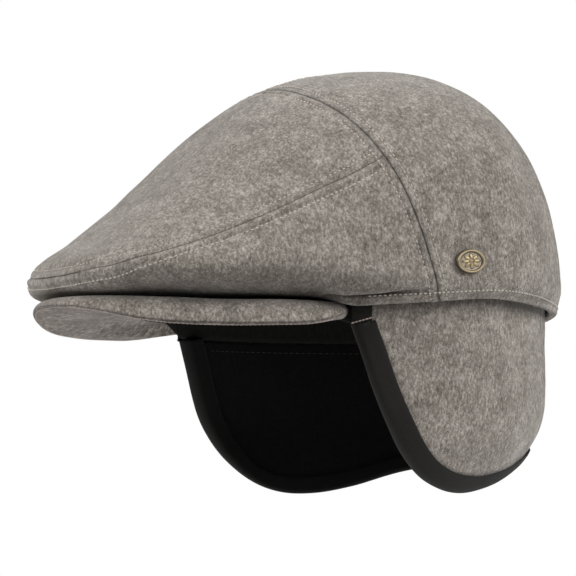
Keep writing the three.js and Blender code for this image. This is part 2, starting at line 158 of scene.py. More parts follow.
def follow(table, column, at, key="angle"):
    """Reads one column of a table along a smooth curve through its rows."""
    x = np.array(table[key], float)
    y = np.array(table[column], float)
    at = np.clip(np.abs(at), x[0], x[-1])
    i = np.clip(np.searchsorted(x, at, side="left") - 1, 0, len(x) - 2)
    slope = np.zeros_like(y)
    slope[1:-1] = (y[2:] - y[:-2]) / (x[2:] - x[:-2])
    if x[-1] < 180:
        slope[-1] = (y[-1] - y[-2]) / (x[-1] - x[-2])
    width = x[i + 1] - x[i]
    t = (at - x[i]) / width
    bend = t * t * (3 - 2 * t)
    out = t * (1 - t) ** 2 * width
    back = t * t * (t - 1) * width
    return mix(y[i], y[i + 1], bend) + slope[i] * out + slope[i + 1] * back


def solve(rising, low, high, count):
    """Finds where a rising function passes zero, for many places at once."""
    start = np.full(count, float(low))
    end = np.full(count, float(high))
    for _ in range(HALVINGS):
        middle = (start + end) / 2
        above = rising(middle) > 0
        end = np.where(above, middle, end)
        start = np.where(above, start, middle)
    return (start + end) / 2


# The crown's surface
def around(angle, reach, height):
    turn = np.radians(angle)
    x = reach * np.sin(turn)
    y = CROWN_AXIS_Y - reach * np.cos(turn)
    return np.stack(np.broadcast_arrays(x, y, height), -1).astype(float)


def oval_reach(angle, inset):
    front = HEAD_FRONT - inset
    across = np.sin(np.radians(angle)) / (HEAD_SIDE - inset)
    along = np.cos(np.radians(angle)) / front
    shift = CROWN_AXIS_Y / front
    a = across**2 + along**2
    b = along * shift
    return (b + np.sqrt(b * b - a * (shift**2 - 1))) / a


def section_reach(section, rise):
    drawn_in = 4 * section["hollow"] * rise**HOLLOW_RISE * (1 - rise)
    arch = np.sqrt(np.clip(1 - rise ** section["fullness"], 0, 1))
    return np.maximum(section["reach"] * arch * (1 - drawn_in), TINY)


def crown_reach(angle, rise):
    facing = np.cos(np.radians(angle))
    front = facing > 0
    end = np.where(front, section_reach(FRONT_SECTION, rise), section_reach(BACK_SECTION, rise))
    power = np.where(front, mix(FRONT_SQUARENESS, OVAL, rise), OVAL)
    across = np.abs(np.sin(np.radians(angle))) / section_reach(SIDE_SECTION, rise)
    along = np.abs(facing) / end
    return np.where(rise >= 1, 0, (across**power + along**power) ** (-1 / power))


def fullest_height(angle):
    turn = np.radians(angle)
    return FULLEST_HEIGHT - FULLEST_FALL * np.cos(turn) + FULLEST_ENDS * np.cos(2 * turn)


def blunt_share(angle):
    """Where the nose drops straight to the peak: the left side rounds under it sooner."""
    return (1 - ease(angle, *BLUNT_LEFT)) * (1 - ease(-angle, *BLUNT_RIGHT))


def crown_point(angle, share):
    """The crown's surface: share runs from 0 at its fullest to 1 on top, and to -TUCK at the hem."""
    angle, share = np.broadcast_arrays(np.asarray(angle, float), np.asarray(share, float))
    full = fullest_height(angle)
    rise = np.clip(share * (2 - share), 0, 1)
    upper = around(angle, crown_reach(angle, rise), mix(full, CROWN_TOP, rise))
    upper[..., 1] += CROWN_LEAN_BACK * rise
    nose = bell(angle, 0, NOSE_ANGLE)
    lifted = ease(share, *NOSE_LIFT_STARTS) * (1 - ease(share, *NOSE_LIFT_ENDS))
    upper[..., 2] += NOSE_LIFT * nose * lifted
    reach = crown_reach(angle, np.zeros_like(angle))
    t = np.clip(-share / TUCK, 0, 1)
    fold = follow(HEM, "fold", angle)
    hem_height = follow(HEM, "height", angle)
    hem_reach = oval_reach(np.abs(angle), mix(0, FLEECE_INSET - GAP, fold))
    drop = full - hem_height
    blunt = blunt_share(angle)
    fold_depth = mix(FOLD_DEPTH, NOSE_FOLD_DEPTH, blunt)
    turn_reach = mix(mix(hem_reach, reach, FOLD_START), reach - fold_depth, fold)
    turn_height = hem_height + mix(FOLD_START * drop, 0, fold)
    over_peak = mix(FOLD_START, NOSE_FOLD_START, blunt)
    start_height = hem_height + mix(1 - FOLD_START, over_peak, fold) * drop
    out = bezier(reach, reach, turn_reach, hem_reach, t)
    lower = around(angle, out, bezier(full, start_height, turn_height, hem_height, t))
    lower[..., 2] += mix(FRONT_HEM_LIFT, NOSE_HEM_LIFT, nose) * fold * ease(t, *HEM_LIFT_STARTS)
    point = np.where(share[..., None] >= 0, upper, lower)
    side = (1 - blunt) * (1 - ease(np.abs(angle), *DRAW_ENDS_ROUND))
    low = (1 - ease(point[..., 2], *DRAW_ENDS_UP)) ** 2 * (1 - ease(t, *DRAW_ENDS_DOWN))
    turn = np.radians(angle)
    inward = np.stack([-np.sin(turn), np.cos(turn), 0 * turn], -1)
    return point + (SIDE_DRAW * side * low)[..., None] * inward


def unit(v):
    return v / np.maximum(np.linalg.norm(v, axis=-1, keepdims=True), TINY)


def crown_normal(angle, share):
    angle, share = np.broadcast_arrays(np.asarray(angle, float), np.asarray(share, float))
    along = crown_point(angle + NORMAL_TURN, share) - crown_point(angle - NORMAL_TURN, share)
    low = np.maximum(share - NORMAL_STEP, -TUCK)
    high = np.minimum(share + NORMAL_STEP, 1)
    up = crown_point(angle, high) - crown_point(angle, low)
    normal = np.cross(along, up)
    size = np.linalg.norm(normal, axis=-1, keepdims=True)
    return np.where(size < TINY, [0.0, 0.0, 1.0], unit(normal))


# The seams
CROSS_SEAM_FOOT_Y = -11.4
CROSS_SEAM_FOOT_Z = 12
CROSS_SEAM_LEAN = 30
CROSS_SEAM_RISE = 88
CROSS_SEAM_BEND = 1.12
CROSS_SEAM_SLANT = 2.3
CROSS_SEAM_TURN = 0.3
CROSS_ANGLES = (1, 100)
MEETING_ANGLES = (40, 72)
LINE_POINTS = 60
FOOT_POINTS = 16


def share_after(angle, share, distance):
    moved = crown_point(angle, share + NORMAL_STEP) - crown_point(angle, share)
    return share + distance * NORMAL_STEP / np.linalg.norm(moved, axis=-1)


def side_seam_share(angle, shift):
    return share_after(angle, follow(SIDE_SEAM, "share", angle), shift)


def behind_seam(angle, share, shift):
    at = crown_point(angle, share)
    up = np.maximum(at[..., 2] - CROSS_SEAM_FOOT_Z, 0) / CROSS_SEAM_RISE
    seam_y = CROSS_SEAM_FOOT_Y - CROSS_SEAM_LEAN * np.minimum(up**CROSS_SEAM_BEND, 1)
    return at[..., 1] - seam_y - shift


def cross_share(angle, shift):
    return solve(lambda share: behind_seam(angle, share, shift), 0, 1, len(angle))


def cross_angle(share, shift):
    return solve(lambda angle: behind_seam(angle, share, shift), *CROSS_ANGLES, len(share))


def length_along(points):
    """How far along a line each of its points lies."""
    steps = np.linalg.norm(np.diff(points, axis=0), axis=1)
    return np.concatenate([[0], np.cumsum(steps)])


def spaced(angle, share, spacing):
    """Spreads the points of a line on the crown evenly along it."""
    length = length_along(crown_point(angle, share))
    count = max(int(round(length[-1] / spacing)), 2)
    at = np.linspace(0, length[-1], count + 1)
    return np.interp(at, length, angle), np.interp(at, length, share)


def cross_line(shift):
    """The cross seam from the middle of the crown down to the hem on the left side."""
    switch = cross_angle(np.array([CROSS_SEAM_TURN]), shift)[0]
    over = np.linspace(0, switch, LINE_POINTS)
    down = np.linspace(CROSS_SEAM_TURN, 0, LINE_POINTS)[1:]
    foot = cross_angle(np.array([0.0]), shift)[0]
    t = np.linspace(0, 1, FOOT_POINTS)[1:]
    angle = np.concatenate([over, cross_angle(down, shift), foot + CROSS_SEAM_SLANT * t])
    share = np.concatenate([cross_share(over, shift), down, -TUCK * t])
    return angle, share


def seam_meeting(side_shift, cross_shift):
    """The angle at which the side seam runs into the cross seam."""
    def over(angle):
        return side_seam_share(angle, side_shift) - cross_share(angle, cross_shift)

    return solve(over, *MEETING_ANGLES, 1)[0]


def both_sides(angle, *others):
    """Mirrors a line that starts in the middle of the cap."""
    mirrored = [np.concatenate([-angle[:0:-1], angle])]
    return mirrored + [np.concatenate([other[:0:-1], other]) for other in others]


# Relief on the crown: rounded cloth edges, swollen seam allowances, stitch dips and puckers
FAR = 1e3
LINE_STEP = 0.4
EDGE_ROUND = 0.5
SEAM_SWELL = 0.3
SWELL_OFF = 2.1
SWELL_WIDTH = 1.2
STITCH_OFF = 4
STITCH_DIP = 0.32
STITCH_DIP_WIDTH = 0.75
PUCKER = 0.14
PUCKER_LENGTH = 6.5
PUCKER_DRIFT = 17
PUCKER_OFF = 3.2
PUCKER_WIDTH = 2.4
HEM_ROW = 3.0
HEM_DIP_WIDTH = 0.9
HEM_ROUND = 1.15
HEM_SWELL = 0.5
HEM_SWELL_OFF = 2
HEM_SWELL_WIDTH = 1.3
HEM_FLARE = 1.3
HEM_FLARE_ENDS = (1, 16)
HEM_FREE_FROM = (50, 56)
TEMPLE_STARTS = (46, 53)
TEMPLE_ENDS = (60, 78)
BAG_SWELL = 2.8
BAG_EDGE = 3
BAG_ENDS = (11, 24)
CREASE_OFF = 6.6
CREASE_DEPTH = 2.8
CREASE_WIDTH = 1.6
WAVE = 0.8
WAVE_LENGTH = 48
WAVE_SEED = 3.7
LUMP = 0.2
LUMP_LENGTH = 12
LUMP_SEED = 8.1
SPLIT_FADE = 10


def smooth_noise(points, length, seed):
    flat = points.reshape(-1, 3) / length + seed
    values = [noise.noise(Vector(p)) for p in flat]
    return np.array(values).reshape(points.shape[:-1])


def cloth_waves(points):
    waves = WAVE * smooth_noise(points, WAVE_LENGTH, WAVE_SEED)
    return waves + LUMP * smooth_noise(points, LUMP_LENGTH, LUMP_SEED)


def nearest(points, line):
    """Distance from every point to a line, and how far along the line the nearest place is."""
    along = length_along(line)
    fine = np.arange(0, along[-1], LINE_STEP)
    dense = np.stack([np.interp(fine, along, line[:, k]) for k in range(3)], 1)
    tree = KDTree(len(dense))
    for i, p in enumerate(dense):
        tree.insert(p, i)
    tree.balance()
    found = [tree.find(p)[1:] for p in points.reshape(-1, 3)]
    index = np.array([f[0] for f in found]).reshape(points.shape[:-1])
    distance = np.array([f[1] for f in found]).reshape(points.shape[:-1])
    return distance, fine[index]


def edge_sink(distance, radius):
    """How far cloth sinks as it rounds over within a radius of its edge."""
    near = radius - np.minimum(np.maximum(distance, 0), radius)
    return radius - np.sqrt(radius**2 - near**2)


def seam_relief(distance, along):
    swell = SEAM_SWELL * bell(distance, SWELL_OFF, SWELL_WIDTH)
    dip = STITCH_DIP * bell(distance, STITCH_OFF, STITCH_DIP_WIDTH)
    ripple = np.sin(2 * math.pi * along / PUCKER_LENGTH + 2 * np.sin(along / PUCKER_DRIFT))
    return swell - dip + PUCKER * ripple * bell(distance, PUCKER_OFF, PUCKER_WIDTH)


def temple_share(side):
    """How far the side panel bags over the hem, at an angle from the front."""
    return ease(side, *TEMPLE_STARTS) * (1 - ease(side, *TEMPLE_ENDS))


def hem_relief(angle, distance):
    """The hem's rolled edge, and the side panel's fullness that bags over it at the temples."""
    side = np.abs(angle)
    swell = HEM_SWELL * bell(distance, HEM_SWELL_OFF, HEM_SWELL_WIDTH)
    swell -= STITCH_DIP * bell(distance, HEM_ROW, HEM_DIP_WIDTH)
    swell += HEM_FLARE * (1 - ease(distance, *HEM_FLARE_ENDS))
    bag = ease(distance, CREASE_OFF, CREASE_OFF + BAG_EDGE) * (1 - ease(distance, *BAG_ENDS))
    crease = CREASE_DEPTH * bell(distance, CREASE_OFF, CREASE_WIDTH)
    return ease(side, *HEM_FREE_FROM) * swell + temple_share(side) * (BAG_SWELL * bag - crease)


# Meshes, in metres. The crease attribute darkens cloth and metal: painted shade, and tarnish on the
# badge.
WELD = 2e-6
NO_LENGTH = 1e-7


def link_new(name, data):
    obj = bpy.data.objects.new(name, data)
    bpy.context.scene.collection.objects.link(obj)
    return obj


def new_object(name, vertices, faces, material, crease=None, uv=None):
    mesh = bpy.data.meshes.new(name)
    mesh.from_pydata((np.asarray(vertices) * MM).tolist(), [], faces)
    if uv is not None:
        layer = mesh.uv_layers.new(name="UVMap")
        corner = np.zeros(len(mesh.loops), np.int32)
        mesh.loops.foreach_get("vertex_index", corner)
        layer.data.foreach_set("uv", np.asarray(uv, np.float32)[corner].ravel())
    if crease is not None:
        layer = mesh.attributes.new("crease", "FLOAT", "POINT")
        layer.data.foreach_set("value", np.asarray(crease, np.float32))
    tidy = bmesh.new()
    tidy.from_mesh(mesh)
    bmesh.ops.remove_doubles(tidy, verts=tidy.verts, dist=WELD)
    bmesh.ops.dissolve_degenerate(tidy, edges=tidy.edges, dist=NO_LENGTH)
    if tidy.calc_volume(signed=True) < 0:
        bmesh.ops.reverse_faces(tidy, faces=tidy.faces)
    tidy.to_mesh(mesh)
    tidy.free()
    mesh.shade_smooth()
    mesh.materials.append(material)
    return link_new(name, mesh)


def dress(piece, slot, node=None):
    """A piece of the cap: it rides on the one body, and may stand for a node of the part."""
    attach(piece, "root")
    if node:
        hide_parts(node)


def wall_faces(columns, rows, ring=False):
    """Faces of a closed wall of cloth: an outer grid, then an inner one, and its four edges."""
    count = columns * rows
    faces = []
    for i in range(columns if ring else columns - 1):
        a = i * rows
        b = ((i + 1) % columns) * rows
        for k in range(rows - 1):
            faces.append((a + k, b + k, b + k + 1, a + k + 1))
            faces.append((count + a + k, count + a + k + 1, count + b + k + 1, count + b + k))
        top = rows - 1
        faces.append((count + a, count + b, b, a))
        faces.append((a + top, b + top, count + b + top, count + a + top))
    if not ring:
        end = (columns - 1) * rows
        for k in range(rows - 1):
            faces.append((count + k, k, k + 1, count + k + 1))
            faces.append((end + k, count + end + k, count + end + k + 1, end + k + 1))
    return faces


def wall(name, outer, inner, material, ring=False, crease=None, uv=None):
    vertices = np.concatenate([outer.reshape(-1, 3), inner.reshape(-1, 3)])
    marks = None if crease is None else np.concatenate([crease.ravel()] * 2)
    places = None if uv is None else np.concatenate([uv.reshape(-1, 2)] * 2)
    faces = wall_faces(*outer.shape[:2], ring)
    return new_object(name, vertices, faces, material, marks, places)


# Distances from a cloth edge at which a panel has a row of points, the rows between them, and
# the most of a short column that the rows near its edges take up
EDGE_ROWS = np.array([0, 0.08, 0.25, 0.5, 0.8, 1.15, 1.6, 2.1, 2.7, 3.2, 3.6, 4, 4.4, 4.9, 5.6, 6.5])
MIDDLE_ROWS = 44
COLUMN_SAMPLES = 240
EDGE_PART = 0.9


def column_shares(angle, low, high, edge_at_top=True):
    """Shares up each column, close together near the cloth's edges and even between them."""
    t = np.linspace(0, 1, COLUMN_SAMPLES)
    shares = mix(low[:, None], high[:, None], t[None, :])
    points = crown_point(angle[:, None], shares)
    steps = np.linalg.norm(np.diff(points, axis=1), axis=2)
    length = np.concatenate([np.zeros((len(angle), 1)), np.cumsum(steps, axis=1)], 1)
    ends = 2 if edge_at_top else 1
    rows = []
    for i in range(len(angle)):
        total = length[i, -1]
        near = EDGE_ROWS * min(1, EDGE_PART * total / (ends * EDGE_ROWS[-1]))
        last = total - near[-1] if edge_at_top else total
        middle = np.linspace(near[-1], last, MIDDLE_ROWS + 2)[1:-1]
        tail = total - near[::-1] if edge_at_top else [total]
        at = np.concatenate([near, middle, tail])
        rows.append(np.interp(at, length[i], shares[i]))
    return np.array(rows)


# How much painted shade darkens the cloth along its seams and folds, and how wide each dark line is
SEAM_SHADE = 0.25
SEAM_SHADE_WIDTH = 0.5
CROSS_SHADE = 0.8
CROSS_SHADE_WIDTH = 0.75
STITCH_SHADE = 0.15
STITCH_SHADE_WIDTH = 0.6
CREASE_SHADE = 1.6
CREASE_SHADE_MOST = 1.15
CREASE_SHADE_WIDTH = 2
BAG_SHADE = 0.5
BAG_SHADE_STARTS = (5, CREASE_OFF)
BAG_SHADE_ENDS = (7.5, 13)
PEAK_SHADE = 0.42
PEAK_SHADE_ENDS_ROUND = (56, 78)
PEAK_SHADE_ENDS_UP = (10, 22)


def crown_shade(angle, height, seam_off, cross_off, hem_off):
    """Painted shade in the seams, in the fold above the hem at the temples, and just above the peak.
    """
    side = np.abs(angle)
    fold = np.minimum(CREASE_SHADE * bell(hem_off, CREASE_OFF, CREASE_SHADE_WIDTH), CREASE_SHADE_MOST)
    under_bag = BAG_SHADE * ease(hem_off, *BAG_SHADE_STARTS) * (1 - ease(hem_off, *BAG_SHADE_ENDS))
    over_peak = (1 - blunt_share(angle)) * (1 - ease(side, *PEAK_SHADE_ENDS_ROUND))
    return np.max([
        SEAM_SHADE * bell(seam_off, 0, SEAM_SHADE_WIDTH),
        STITCH_SHADE * bell(seam_off, STITCH_OFF, STITCH_SHADE_WIDTH),
        CROSS_SHADE * bell(cross_off, 0, CROSS_SHADE_WIDTH),
        temple_share(side) * np.maximum(fold, under_bag),
        PEAK_SHADE * over_peak * (1 - ease(height, *PEAK_SHADE_ENDS_UP)),
    ], axis=0)


def crown_panel(name, angle, shares, seams, hem, node, split_x=0):
    """A panel of the crown: seams and hem are lines on its edges, the cross seam last."""
    grid_angle = np.broadcast_to(angle[:, None], shares.shape)
    base = crown_point(grid_angle, shares)
    normal = crown_normal(grid_angle, shares)
    distance = np.full(shares.shape, FAR)
    along = np.zeros(shares.shape)
    for line in seams:
        off, at = nearest(base, line)
        along = np.where(off < distance, at, along)
        distance = np.minimum(distance, off)
    cross_off = off
    if split_x:
        off = np.abs(base[..., 0])
        along = np.where(off < distance, base[..., 1] + base[..., 2], along)
        distance = np.minimum(distance, off)
        base[..., 0] += split_x * HALF_SEAM * np.exp(-off / SPLIT_FADE)
    hem_off = nearest(base, hem)[0] if hem is not None else np.full(shares.shape, FAR)
    lift = seam_relief(distance, along) + hem_relief(grid_angle, hem_off)
    rounded = np.maximum(edge_sink(distance, EDGE_ROUND), edge_sink(hem_off, HEM_ROUND))
    outer = base + normal * (lift - rounded + cloth_waves(base))[..., None]
    inner = base - normal * (CLOTH - rounded)[..., None]
    # Painted shade in the seams, the temple folds and above the peak
    crease = crown_shade(grid_angle, base[..., 2], distance, cross_off, hem_off)
    dress(wall(name, outer, inner, wool, crease=crease), "wool", node)


# Shader node groups and materials: the noises of the wool, their weights, and where the mixed
# noise passes from one colour to the next. The mix numbers are sockets of the colour mix node.
NOISE_MIDDLE = 0.5
WOOL_NOISE = {
    "fleck": {"scale": 1500, "roughness": 0.7},
    "fibre": {"scale": 900, "roughness": 0.6, "stretch": (1, 1, 0.6)},
    "mottle": {"scale": 330, "roughness": 0.6},
    "patches": {"scale": 85, "detail": 1.0},
}
FINE_WEIGHTS = {"fleck": 0.8, "fibre": 1.0}
MOTTLE_WEIGHT = 0.6
PATCH_WEIGHT = 0.38
DARK_TO_MIDDLE = (0.12, 0.5)
MIDDLE_TO_LIGHT = (0.5, 0.92)
# The most that painted shade darkens the wool
PAINTED_SHADE_DARKENS = 0.8
BLACK_TO_LIGHTER = (0.35, 0.7)
GREY = (0.2, 0.2, 0.2, 1)
MIX_FACTOR = 0
MIX_FIRST = 6
MIX_SECOND = 7
MIX_RESULT = 2


def give(tree, node, inputs):
    """Fills a node's inputs: a socket is linked, and anything else is its value."""
    for key, value in inputs.items():
        if isinstance(value, bpy.types.NodeSocket):
            tree.links.new(value, node.inputs[key])
        else:
            node.inputs[key].default_value = value


def add_node(tree, kind, inputs=None, **settings):
    node = tree.nodes.new(kind)
    for key, value in settings.items():
        setattr(node, key, value)
    give(tree, node, inputs or {})
    return node


def math_node(tree, operation, a, b):
    return add_node(tree, "ShaderNodeMath", {0: a, 1: b}, operation=operation).outputs[0]


def stretched(tree, vector, scale):
    return add_node(tree, "ShaderNodeMapping", {"Vector": vector, "Scale": scale}).outputs[0]


def noise_node(tree, vector, scale, detail=2.0, roughness=0.5, stretch=None):
    if stretch is not None:
        vector = stretched(tree, vector, stretch)
    inputs = {"Vector": vector, "Scale": scale, "Detail": detail, "Roughness": roughness}
    return add_node(tree, "ShaderNodeTexNoise", inputs).outputs["Fac"]


def band_of(tree, value, low, high):
    inputs = {"Value": value, "From Min": low, "From Max": high}
    return add_node(tree, "ShaderNodeMapRange", inputs).outputs["Result"]


def mix_colour(tree, factor, a, b):
    inputs = {MIX_FACTOR: factor, MIX_FIRST: a, MIX_SECOND: b}
    return add_node(tree, "ShaderNodeMix", inputs, data_type="RGBA").outputs[MIX_RESULT]


def object_coords(tree):
    return tree.nodes.new("ShaderNodeTexCoord").outputs["Object"]


# Reads the crease attribute: painted shade, and on the badge tarnish too
def shade_and_tarnish_of(tree):
    return add_node(tree, "ShaderNodeAttribute", attribute_name="crease").outputs["Fac"]


def srgb(red, green, blue):
    def linear(value):
        value /= 255
        return value / 12.92 if value <= 0.04045 else ((value + 0.055) / 1.055) ** 2.4

    return (linear(red), linear(green), linear(blue), 1.0)


def weighted(tree, parts):
    """Adds up noises by their weights, each counted from its own middle."""
    total = None
    for value, weight in parts:
        node = math_node(tree, "MULTIPLY_ADD", value, weight).node
        if total is None:
            node.inputs[2].default_value = NOISE_MIDDLE - NOISE_MIDDLE * sum(w for _, w in parts)
        else:
            tree.links.new(total, node.inputs[2])
        total = node.outputs[0]
    return total


def make_melange():
    """Wool of mixed fibres: flecks, a fine mottle and soft patches, darkened by painted shade along
    seams and folds.
    """
    tree = bpy.data.node_groups.new("melange_wool", "ShaderNodeTree")
    face = tree.interface
    face.new_socket(name="Vector", in_out="INPUT", socket_type="NodeSocketVector")
    for label in ("Dark", "Middle", "Light"):
        socket = face.new_socket(name=label, in_out="INPUT", socket_type="NodeSocketColor")
        socket.default_value = GREY
    face.new_socket(name="Crease", in_out="INPUT", socket_type="NodeSocketFloat")
    face.new_socket(name="Color", in_out="OUTPUT", socket_type="NodeSocketColor")
    face.new_socket(name="Height", in_out="OUTPUT", socket_type="NodeSocketFloat")
    given = tree.nodes.new("NodeGroupInput").outputs
    noises = {name: noise_node(tree, given["Vector"], **sizes) for name, sizes in WOOL_NOISE.items()}
    fine = weighted(tree, [(noises[name], weight) for name, weight in FINE_WEIGHTS.items()])
    mottled = [(fine, 1.0), (noises["mottle"], MOTTLE_WEIGHT), (noises["patches"], PATCH_WEIGHT)]
    tone = weighted(tree, mottled)
    dark = mix_colour(tree, band_of(tree, tone, *DARK_TO_MIDDLE), given["Dark"], given["Middle"])
    colour = mix_colour(tree, band_of(tree, tone, *MIDDLE_TO_LIGHT), dark, given["Light"])
    # Painted shade: the shade input mixes the colour towards a dark brown-grey
    painted_shade = math_node(tree, "MULTIPLY", given["Crease"], PAINTED_SHADE_DARKENS)
    colour = mix_colour(tree, painted_shade, colour, srgb(40, 37, 34))
    add_node(tree, "NodeGroupOutput", {"Color": colour, "Height": fine})
    return tree


def new_material(name):
    material = bpy.data.materials.new(name)
    material.use_nodes = True
    tree = material.node_tree
    shader = tree.nodes["Principled BSDF"]
    return material, tree, shader


def add_bump(tree, shader, height, distance, strength=1.0):
    bump = add_node(tree, "ShaderNodeBump", {
        "Strength": strength,
        "Distance": distance,
        "Height": height,
    })
    give(tree, shader, {"Normal": bump.outputs["Normal"]})


def wool_material(name, dark, middle, light, coarseness=1.0):
    material, tree, shader = new_material(name)
    melange = add_node(tree, "ShaderNodeGroup", node_tree=melange_group)
    give(tree, melange, {
        "Vector": stretched(tree, object_coords(tree), [1 / coarseness] * 3),
        "Dark": dark,
        "Middle": middle,
        "Light": light,
        "Crease": shade_and_tarnish_of(tree),
    })
    give(tree, shader, {
        "Base Color": melange.outputs["Color"],
        "Roughness": 0.95,
        "Specular IOR Level": 0.15,
        "Sheen Weight": 0.25,
        "Sheen Roughness": 0.5,
    })
    add_bump(tree, shader, melange.outputs["Height"], distance=0.0005, strength=0.7)
    return material


def black_cloth(name, colour, lighter, scale, depth, roughness, stretch=None):
    material, tree, shader = new_material(name)
    grain = noise_node(tree, object_coords(tree), scale, detail=3.0, roughness=0.6, stretch=stretch)
    tint = mix_colour(tree, band_of(tree, grain, *BLACK_TO_LIGHTER), colour, lighter)
    # Painted shade: where the crease attribute is set, on the tape's inner leg, the cloth goes
    # towards near black
    give(tree, shader, {
        "Base Color": mix_colour(tree, shade_and_tarnish_of(tree), tint, srgb(9, 8, 8)),
        "Roughness": roughness,
        "Specular IOR Level": 0.2,
        "Sheen Weight": 0.05,
    })
    add_bump(tree, shader, grain, depth)
    return material


def thread_material(name, dark, light):
    material, tree, shader = new_material(name)
    grain = noise_node(tree, object_coords(tree), scale=2500)
    give(tree, shader, {
        "Base Color": mix_colour(tree, grain, dark, light),
        "Roughness": 0.7,
        "Sheen Weight": 0.2,
    })
    return material


melange_group = make_melange()
wool = wool_material("grey_wool", srgb(80, 74, 67), srgb(133, 126, 118), srgb(190, 183, 175))
# A darker copy of the grey wool for the peak's underside, with coarser flecks: the darkness is
# painted shade
under_wool = wool_material(
    "under_wool", srgb(62, 55, 49), srgb(116, 108, 101), srgb(186, 176, 168), coarseness=1.7
)
tape_cloth = black_cloth(
    "black_tape", srgb(24, 23, 22), srgb(36, 34, 32), scale=1800, depth=0.0002, roughness=0.85
)
fleece_cloth = black_cloth(
    "black_fleece", srgb(11, 9, 10), srgb(20, 18, 19), scale=700, depth=0.0006, roughness=1.0
)
band_cloth = black_cloth(
    "black_band", srgb(18, 19, 17), srgb(30, 30, 28), scale=1200, depth=0.0003, roughness=0.9,
    stretch=(1, 1, 0.2),
)
pale_thread = thread_material("pale_thread", srgb(172, 163, 152), srgb(222, 214, 204))
rim_thread = thread_material("rim_thread", srgb(160, 140, 130), srgb(212, 192, 182))
dark_thread = thread_material("dark_thread", srgb(24, 22, 22), srgb(46, 44, 43))


# The crown's four panels. Angles and shares are those of crown_point.
SEAM_SPACING = 1.8
SIDE_LINE_POINTS = 90
HEM_POINTS = 900
CORNER_SHORT = 0.01
CORNER_STEP = 1e-3
LEAST_COLUMN = 1e-4
BACK_COLUMN_TURN = 1.1
CLOSE_COLUMNS = np.array([0.05, 0.14, 0.28, 0.45, 0.65, 0.9])


def side_line(shift, end):
    angle = np.linspace(0, end, SIDE_LINE_POINTS)
    return angle, side_seam_share(angle, shift)


def on_crown(angle, share):
    return crown_point(np.asarray(angle), np.asarray(share))


def build_top_panel(side, cross):
    end = seam_meeting(HALF_SEAM, -HALF_SEAM) - CORNER_SHORT
    angle, low = both_sides(*spaced(*side_line(HALF_SEAM, end), SEAM_SPACING))
    high = np.maximum(cross_share(np.abs(angle), -HALF_SEAM), low)
    shares = column_shares(angle, low, high)
    crown_panel("crown_top", angle, shares, [side, cross], None, "crown_top_panel")


def build_side_panel(side, cross, hem):
    corner = seam_meeting(-HALF_SEAM, -HALF_SEAM)
    front_angle, front_share = spaced(*side_line(-HALF_SEAM, corner), SEAM_SPACING)
    down_angle, down_share = cross_line(-HALF_SEAM)
    lower = (down_share < front_share[-1] - CORNER_STEP) & (down_angle > corner)
    down_angle, down_share = spaced(
        np.concatenate([[corner], down_angle[lower]]),
        np.concatenate([[front_share[-1]], down_share[lower]]),
        SEAM_SPACING,
    )
    angle, top = both_sides(
        np.concatenate([front_angle, down_angle[1:]]),
        np.concatenate([front_share, down_share[1:]]),
    )
    shares = column_shares(angle, np.full(len(angle), -TUCK), np.maximum(top, LEAST_COLUMN - TUCK))
    crown_panel("crown_side", angle, shares, [side, cross], hem, "crown_side_panel")


def build_back_panels(cross, hem):
    seam_angle, seam_share = spaced(*cross_line(HALF_SEAM), SEAM_SPACING)
    round_back = np.arange(seam_angle[-1], 180, BACK_COLUMN_TURN)[1:]
    angle = np.concatenate([seam_angle, round_back, CLOSE_COLUMNS, 180 - CLOSE_COLUMNS, [180]])
    angle = np.unique(angle)
    low = np.where(angle >= seam_angle[-1], -TUCK, np.interp(angle, seam_angle, seam_share))
    for word, sign in (("left", 1), ("right", -1)):
        shares = column_shares(sign * angle, low, np.ones(len(angle)), edge_at_top=False)
        node = f"crown_back_{word}"
        crown_panel(f"back_{word}", sign * angle, shares, [cross], hem, node, split_x=sign)


def build_crown():
    side = on_crown(*both_sides(*side_line(0, seam_meeting(0, 0))))
    cross = on_crown(*both_sides(*cross_line(0)))
    hem = on_crown(np.linspace(-180, 180, HEM_POINTS), np.full(HEM_POINTS, -TUCK))
    build_top_panel(side, cross)
    build_side_panel(side, cross, hem)
    build_back_panels(cross, hem)


build_crown()


# The peak
PEAK_COLUMNS = 150
PEAK_CROWDING = 1.25
PEAK_ROLL_ROWS = 18
PEAK_FLAT_ROWS = 33
MOST_ROLL = 0.75
UNDER_ARCH = 5.4
PEAK_TIP = 3
PEAK_SKEW = 0.3
NOSE_ROLL = 6
NOSE_ROLL_ANGLE = 14
PEAK_WAVE = 0.6
PEAK_WAVE_LENGTH = 40
PEAK_WAVE_SEED = 5.2
PEAK_WAVE_FULL = 8
UNDER_WAVE = 0.6
RIM_SEAM = 0.5
RIM_SEAM_WIDTH = 1
UNDER_RIM_SEAM = 0.5
RIM_SHADE = 0.7
RIM_SHADE_WIDTH = 0.7


def roll_length(angle):
    """How far in from the rim the peak's top rolls over: less at the front."""
    return mix(PEAK_ROLL, NOSE_ROLL, bell(angle, 0, NOSE_ROLL_ANGLE))


def peak_rim(angle):
    return follow(PEAK, "rim", angle) - PEAK_SKEW * np.sin(np.radians(2 * angle))


def peak_depth(angle):
    """How far the peak reaches from its rim to the hem, where its covers are tucked in."""
    return follow(PEAK, "reach", angle) - oval_reach(np.abs(angle), FLEECE_INSET - GAP)


